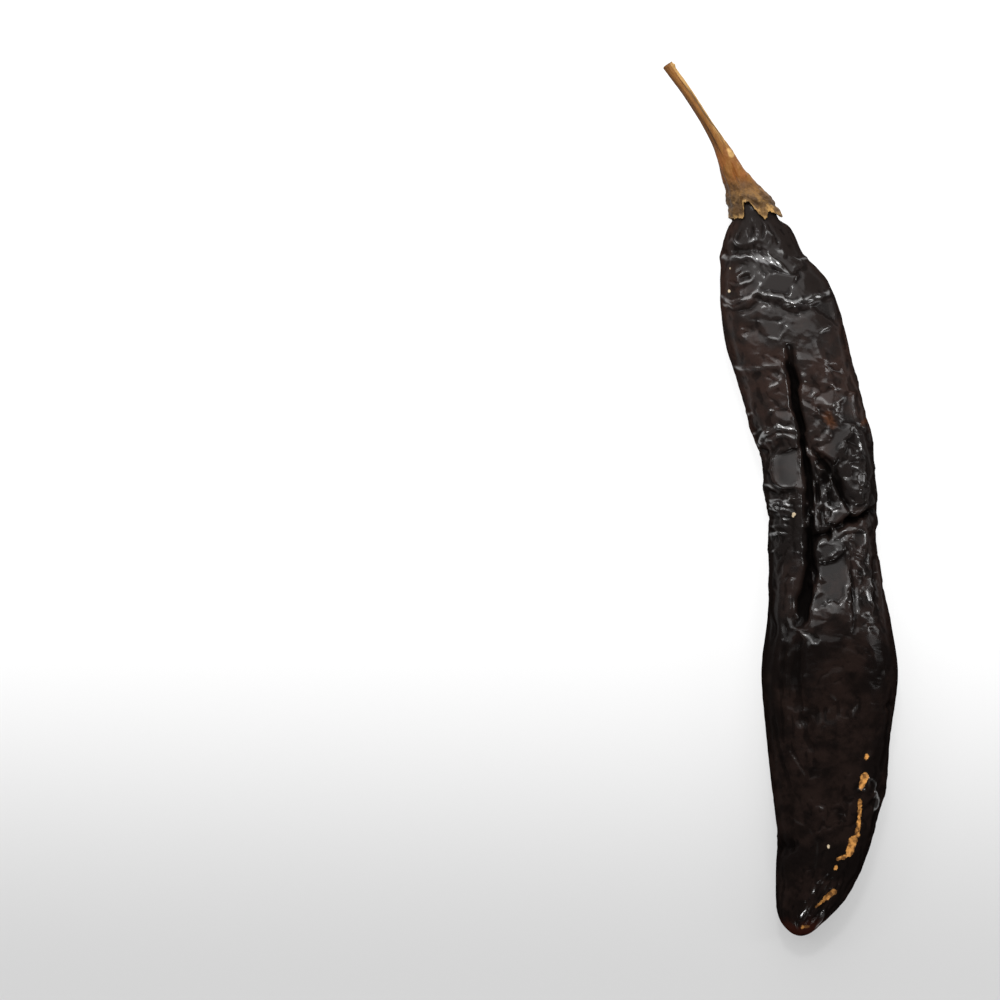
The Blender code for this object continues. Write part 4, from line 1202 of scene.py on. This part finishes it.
# Painted shade, laid into the grooves and into the hollows between crumples
PAINTED_CREASE_SHADE = (0.0035, 0.0028, 0.0026, 1.0)
AMBER = (0.70, 0.325, 0.088, 1.0)
AMBER_DARK = (0.15, 0.066, 0.022, 1.0)
CREAM = (0.62, 0.50, 0.34, 1.0)
# Where a mask rises from 0 to 1: by Y in metres, by a noise's value, or by a value that the mesh keeps
# The upper part's lighter tone and the near black below it are painted light and shade, for the large light
# beyond the stalk
UPPER_Y = (-0.035, 0.030)
UPPER_STRAY = 0.03
TIP_END_Y = (-0.0905, -0.0945)
MOTTLE_SHARE = 0.15
BROWN_CLOUDS = (0.46, 0.60)
BROWN_MOTTLES = (0.30, 0.60)
BROWN_BELOW = 0.35  # share of the brown that the lower half has
RED_CLOUDS = (0.45, 0.60)
AMBER_CLOUDS = (0.35, 0.65)
TINT_EDGE = (0.6, -0.6)
TINT_STRAY = 3.0
# Relief and hollowness over which the painted shade of grooves and hollows comes in; the hollows also dull
# the gloss
GROOVE_RELIEF = (-0.6, -2.2)
HOLLOWS = (0.012, 0.050)


def skin_colour(finish, worn, speck):
    """Black and charcoal mixed by how far up the pepper a place lies, which is painted light and shade,
    brown clouds, painted shade in the grooves and hollows, then the marks.
    """
    clouds = finish.noise(scale=55.0, detail=4.0, roughness=0.6)
    mottled = finish.noise(scale=260.0, roughness=0.6)
    # Painted light and shade: lighter towards the shoulder, near black towards the tip, with less of the
    # brown below
    upper = finish.between(*UPPER_Y, finish.axis("Y") + (clouds - 0.5) * UPPER_STRAY)
    brown = finish.between(*BROWN_CLOUDS, clouds) * finish.between(*BROWN_MOTTLES, mottled)
    red = finish.between(*RED_CLOUDS, finish.noise(scale=180.0))
    red = red * finish.between(*TIP_END_Y, finish.axis("Y"))
    tint = finish.between(*TINT_EDGE, finish.own("tint") + (mottled - 0.5) * TINT_STRAY)
    amber = finish.mix(finish.between(*AMBER_CLOUDS, finish.noise(scale=900.0)), AMBER, AMBER_DARK)
    return finish.layered(SKIN_BLACK, (
        (upper * (1 - MOTTLE_SHARE) + mottled * MOTTLE_SHARE, 1.0, SKIN_CHARCOAL),
        (brown * (BROWN_BELOW + (1 - BROWN_BELOW) * upper), 1.0, SKIN_BROWN),
        (red, 0.5, SKIN_RED),
        (tint, 0.4, SKIN_ORANGE),
        # Painted shade in the grooves and hollows
        (finish.between(*GROOVE_RELIEF, finish.own("relief")), 1.0, PAINTED_CREASE_SHADE),
        (finish.between(*HOLLOWS, finish.own("hollow")), 0.5, PAINTED_CREASE_SHADE),
        (worn, 1.0, amber),
        (speck, 1.0, CREAM),
    ))


# %% [markdown]
# What is too fine for the mesh is drawn as bumps. Small dents rise from scattered middles in flat facets,
# and they show only where the skin is crumpled, in patches even there. Very faint wrinkles run everywhere,
# from a ridged noise that is stretched along the pepper.

# %% Skin finish
Dents = namedtuple("Dents", "scale stray_scale stray height")  # scales for each metre, sizes in metres
SKIN_DENTS = (
    Dents(420.0, 300.0, 0.002, 0.00010),
    Dents(900.0, 700.0, 0.0009, 0.00004),
)
DENT_CLOUDS = (0.35, 0.60)
WRINKLE_HEIGHT = 0.000005
WORN_DEPTH = 0.00012
RAGGEDNESS = 0.9  # millimetres by which the worn patches' edges stray
SPECK_RAGGEDNESS = 0.4  # share of it for the specks
WORN_EDGE = (0.12, -0.12)
SPECK_EDGE = (0.08, -0.08)
SATIN_CLOUDS = (0.3, 0.7)
SATIN, SATIN_CHANGE, WORN_ROUGHER = 0.18, 0.06, 0.35
RIDGES = (0.04, 0.20)  # height of a creased fold in millimetres
CRESTS = (0.010, 0.040)
RIDGE_COAT, CREST_COAT, LEAST_COAT = 0.95, 0.12, 0.04
DULL_ROUGHNESS = 0.8
WAXY_FACING = (0.52, 0.12)  # how far a place turns away from the eye, 1 at the rim
RIDGE_FACING = (0.80, 0.45)
DEEP_RELIEF = (-1.0, -2.2)
NECK_START_Y = (0.0520, 0.0600)
LOWER_HALF_Y = (-0.0210, -0.0340)
SHOULDER_Y = (0.0300, 0.0440)


def skin_bumps(finish, worn):
    """Dents where the skin is crumpled, long fine wrinkles, and worn patches that lie a little deeper."""
    patches = finish.own("crumpled") * finish.between(*DENT_CLOUDS, finish.noise(scale=90.0, detail=2.0))
    normal = None
    for dents in SKIN_DENTS:
        facets = finish.cells(dents.scale, finish.strayed(dents.stray_scale, dents.stray))
        normal = finish.bump(facets * patches, dents.height, normal)
    wrinkles = finish.noise(scale=500.0, kind="RIDGED_MULTIFRACTAL", place=finish.place((1.0, 0.22, 1.0)))
    normal = finish.bump(wrinkles, WRINKLE_HEIGHT, normal)
    return finish.bump(worn * -1.0, WORN_DEPTH, normal)


def waxy_share(finish, worn, ridge):
    """How much of the waxy shader a place shows: less for each cause of dullness, more on a ridge."""
    facing = finish.node("ShaderNodeLayerWeight", {}, {"Blend": 0.5}, "Facing")
    y = finish.axis("Y")
    waxy = finish.between(*WAXY_FACING, facing)
    for cause, share in (
        (finish.between(*DEEP_RELIEF, finish.own("relief")), 1.0),
        (finish.between(*NECK_START_Y, y), 0.75),
        (worn, 0.6),
        (finish.between(*LOWER_HALF_Y, y) * (1 - finish.own("flat")), 0.86),
        (finish.between(*SHOULDER_Y, y), 0.38),
        (finish.between(*HOLLOWS, finish.own("hollow")), 0.5),
    ):
        waxy = waxy * (1 - cause * share)
    return waxy + ridge * finish.between(*RIDGE_FACING, facing) * (1 - waxy)


def skin_finish():
    """Two Principled shaders, one waxy and one dull, mixed by how much sheen a place has."""
    finish = Finish("dried_skin", IOR=1.33, Coat_Roughness=0.17, Coat_IOR=1.8)
    ragged = (finish.noise(scale=1400.0) - 0.5) * RAGGEDNESS
    worn = finish.between(*WORN_EDGE, finish.own("worn") + ragged)
    speck = finish.between(*SPECK_EDGE, finish.own("speck") + ragged * SPECK_RAGGEDNESS)
    ridge = finish.between(*RIDGES, finish.own("ridge"))
    crest = finish.between(*CRESTS, finish.own("hollow") * -1.0)
    satin = finish.between(*SATIN_CLOUDS, finish.noise(scale=300.0)) * SATIN_CHANGE + SATIN
    colour = skin_colour(finish, worn, speck)
    normal = skin_bumps(finish, worn)
    finish.feed("Base Color", colour)
    finish.feed("Roughness", satin + worn * WORN_ROUGHER)
    finish.feed("Normal", normal)
    finish.feed("Coat Weight", ridge * RIDGE_COAT + crest * CREST_COAT + LEAST_COAT)
    dull = finish.node("ShaderNodeBsdfPrincipled", {}, {
        "Base Color": colour, "Roughness": DULL_ROUGHNESS, "Specular IOR Level": 0.0, "Normal": normal})
    waxy = Wire(finish, finish.shader.outputs["BSDF"])
    share = waxy_share(finish, worn, ridge)
    finish.show(finish.node("ShaderNodeMixShader", {}, {0: share, 1: dull, 2: waxy}))
    return finish.material


pod_skin.data.materials.append(skin_finish())
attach(pod_skin, "root")
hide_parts("pod")

# %% [markdown]
# ## Dry wood
# The stalk is golden brown and darker in its furrows. Its left side is painted brown as shade, and its
# right side pale near the cut end as a painted highlight. The calyx is duller, an olive tan with dark
# blotches, painted darker on its left side and towards its top as shade, and its torn edge is pale.

# %% Stalk colours
STALK_GOLD = (0.265, 0.110, 0.021, 1.0)
# Brown of the fibres, and the painted shade of the stalk's left side
STALK_BROWN_AND_SHADE = (0.12, 0.045, 0.009, 1.0)
STALK_DARK = (0.060, 0.024, 0.007, 1.0)
# Pale of the torn rim and the scar, and the painted highlight on the stalk's right side near its cut end
STALK_PALE_AND_HIGHLIGHT = (0.62, 0.37, 0.13, 1.0)
STALK_ORANGE = (0.27, 0.088, 0.016, 1.0)
CALYX_OLIVE = (0.125, 0.062, 0.016, 1.0)
CALYX_TAN = (0.50, 0.280, 0.085, 1.0)
# Dark of the blotches, and the painted shade on the calyx's left side and towards its top
CALYX_BLOTCH_AND_SHADE = (0.055, 0.027, 0.010, 1.0)
# Where a mask rises from 0 to 1: by the side, from -1 at the left to 1, by Y in metres, or by a value
# Painted light and shade by the side: brown on the left, gold, then pale on the right near the cut end
GOLD_SIDE = (-0.95, -0.15)
PALE_SIDE = (0.35, 0.75)
SHADED_SIDE = (-0.4, -0.95)
SIDE_STRAY = 0.16
PALE_Y = (0.0760, 0.0820)
# Painted shade towards the calyx's top, where its surface leans towards the light
CALYX_TOP_Y = (0.0630, 0.0670)
WOOD_Y = (0.0650, 0.0730)
WOOD_STRAY = 0.008
ORANGE_FROM_Y = (0.0690, 0.0715)
ORANGE_UP_TO_Y = (0.0790, 0.0745)
FURROWS = (-0.12, -0.30)
FURROW_STRAY = 0.03
CALYX_DENTS = (-0.05, -0.30)
BROWN_FIBRES = (0.45, 0.70)
ORANGE_FIBRES = (0.42, 0.60)
TAN_BLOTCHES = (0.44, 0.60)
GRIME_BLOTCHES = (0.50, 0.66)
PALE_RIM = (1.3, 0.0)  # millimetres above the torn edge
PALE_RIM_PATCHES = (0.4, 0.6)
SCAR_EDGE = (0.35, -0.15)


def stalk_colour(finish):
    """Brown on the left side as painted shade, gold, and a pale painted highlight on the right, with
    streaks along the stalk, then blotches and painted shade on the calyx, and a pale rim, laid over each
    other."""
    y = finish.axis("Y")
    relief = finish.own("relief")
    streak = finish.own("streak")
    side = finish.own("side") + streak * SIDE_STRAY
    fibres = finish.noise(scale=900.0, place=finish.place((1.0, 0.12, 1.0)))
    blotches = finish.noise(scale=300.0, detail=5.0, roughness=0.65)
    grime = finish.noise(scale=700.0, detail=4.0, roughness=0.7)
    wood = finish.layered(STALK_BROWN_AND_SHADE, (
        # Painted shade on the left side, painted highlight on the right side
        (finish.between(*GOLD_SIDE, side), 1.0, STALK_GOLD),
        (finish.between(*PALE_SIDE, side) * finish.between(*PALE_Y, y), 0.8, STALK_PALE_AND_HIGHLIGHT),
        (finish.between(*FURROWS, relief + streak * FURROW_STRAY), 0.8, STALK_DARK),
        (finish.between(*BROWN_FIBRES, fibres), 0.5, STALK_BROWN_AND_SHADE),
    ))
    calyx = finish.layered(CALYX_OLIVE, (
        (finish.between(*TAN_BLOTCHES, blotches), 1.0, CALYX_TAN),
        (finish.between(*GRIME_BLOTCHES, grime), 0.75, CALYX_BLOTCH_AND_SHADE),
        (finish.between(*CALYX_DENTS, relief), 0.6, CALYX_BLOTCH_AND_SHADE),
        # Painted shade on the left side and towards the top
        (finish.between(*SHADED_SIDE, side), 0.6, CALYX_BLOTCH_AND_SHADE),
        (finish.between(*CALYX_TOP_Y, y), 0.65, CALYX_BLOTCH_AND_SHADE),
    ))
    orange = finish.between(*ORANGE_FROM_Y, y) * finish.between(*ORANGE_UP_TO_Y, y)
    patchy = finish.between(*PALE_RIM_PATCHES, finish.noise(scale=700.0))
    return finish.layered(calyx, (
        (finish.between(*WOOD_Y, y + (blotches - 0.5) * WOOD_STRAY), 1.0, wood),
        (orange * finish.between(*ORANGE_FIBRES, fibres), 0.7, STALK_ORANGE),
        (finish.between(*PALE_RIM, finish.own("rim")) * patchy, 0.6, STALK_PALE_AND_HIGHLIGHT),
        (finish.between(*SCAR_EDGE, finish.own("scar")), 1.0, STALK_PALE_AND_HIGHLIGHT),
        (finish.own("cut"), 0.7, STALK_DARK),
    ))


# %% Stalk finish
GRAIN_HEIGHT = 0.00012
PORE_HEIGHT = 0.00006


def stalk_finish():
    """Dull wood with a grain along the stalk and fine pores."""
    finish = Finish("dry_stalk", Roughness=0.6, IOR=1.36)
    finish.feed("Base Color", stalk_colour(finish))
    grain = finish.noise(scale=1500.0, place=finish.place((1.0, 0.3, 1.0)))
    normal = finish.bump(grain, GRAIN_HEIGHT)
    finish.feed("Normal", finish.bump(finish.noise(scale=2600.0), PORE_HEIGHT, normal))
    return finish.material


stalk.data.materials.append(stalk_finish())
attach(stalk, "root")
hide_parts("stalk_calyx")

# %% [markdown]
# ## Floor, light and camera
# The pepper lies on a plain white surface that falls off to pale grey below it, so the floor has a soft
# change of tone and most of its brightness is its own, which the lights leave even. One large even light
# stands beyond the stalk's end. It makes the even grey on the facets that lean towards it, and small
# bright ones draw the glints on the ridges. The camera looks straight down.

# %% Floor
FLOOR_SIZE = 3.0
FLOOR_COLOUR = (0.26, 0.26, 0.26, 1.0)
FLOOR_WHITE_GLOW = (0.82, 0.82, 0.82, 1.0)
FLOOR_GREY_GLOW = (0.385, 0.385, 0.385, 1.0)
FLOOR_WHITE_Y = (-0.11, 0.0)
bpy.ops.mesh.primitive_plane_add(size=FLOOR_SIZE)
floor = bpy.context.object
floor.name = "floor"
floor_finish = Finish("pale_floor", Roughness=0.9, Specular_IOR_Level=0.0, Base_Color=FLOOR_COLOUR,
                      Emission_Strength=1.0)
white_part = floor_finish.between(*FLOOR_WHITE_Y, floor_finish.axis("Y"))
floor_finish.feed("Emission Color", floor_finish.mix(white_part, FLOOR_GREY_GLOW, FLOOR_WHITE_GLOW))
floor.data.materials.append(floor_finish.material)

# %% Lights
Light = namedtuple("Light", "name place size radiance")
LIGHTS = (
    Light("broad_top", (-0.15, 0.85, 0.96), (1.8, 1.7), 2.3),
    Light("glint_top", (-0.10, 0.62, 0.95), (0.16, 0.13), 52.0),
    Light("glint_left", (-0.75, 0.30, 0.68), (0.08, 0.22), 16.0),
    Light("glint_right", (0.60, 0.05, 0.42), (0.06, 0.30), 12.0),
    Light("glint_low", (0.10, -0.90, 0.52), (0.20, 0.10), 28.0),
)
WORLD_COLOUR = (1.0, 1.0, 1.0, 1.0)
WORLD_STRENGTH = 0.12


def aim(thing, target):
    """Turns a light or camera so that it looks at the target."""
    thing.rotation_euler = (Vector(target) - thing.location).to_track_quat("-Z", "Y").to_euler()


for light in LIGHTS:
    data = bpy.data.lights.new(light.name, "AREA")
    data.shape = "RECTANGLE"
    data.size, data.size_y = light.size
    data.energy = light.radiance * math.pi * data.size * data.size_y
    lamp = bpy.data.objects.new(light.name, data)
    lamp.location = light.place
    bpy.context.scene.collection.objects.link(lamp)
    aim(lamp, (0.0, 0.0, 0.0))

world = bpy.data.worlds.new("studio")
world.use_nodes = True
world.node_tree.nodes["Background"].inputs["Color"].default_value = WORLD_COLOUR
world.node_tree.nodes["Background"].inputs["Strength"].default_value = WORLD_STRENGTH
bpy.context.scene.world = world
bpy.context.scene.view_settings.view_transform = "Standard"

# %% Camera
FRAME_WIDTH = 0.220  # what the photograph takes in at the height of the pepper's widest part
FRAME_MIDDLE = np.array([-0.0617, 0.0])
WIDEST_HEIGHT = 0.008
CAMERA_HEIGHT = 0.9
camera_data = bpy.data.cameras.new("camera")
camera_data.sensor_width = 36.0
camera_data.lens = camera_data.sensor_width * (CAMERA_HEIGHT - WIDEST_HEIGHT) / FRAME_WIDTH
camera = bpy.data.objects.new("camera", camera_data)
camera.location = (*(FRAME_MIDDLE + FRAME_SHIFT[:2] * MM), CAMERA_HEIGHT)
bpy.context.scene.collection.objects.link(camera)
bpy.context.scene.camera = camera
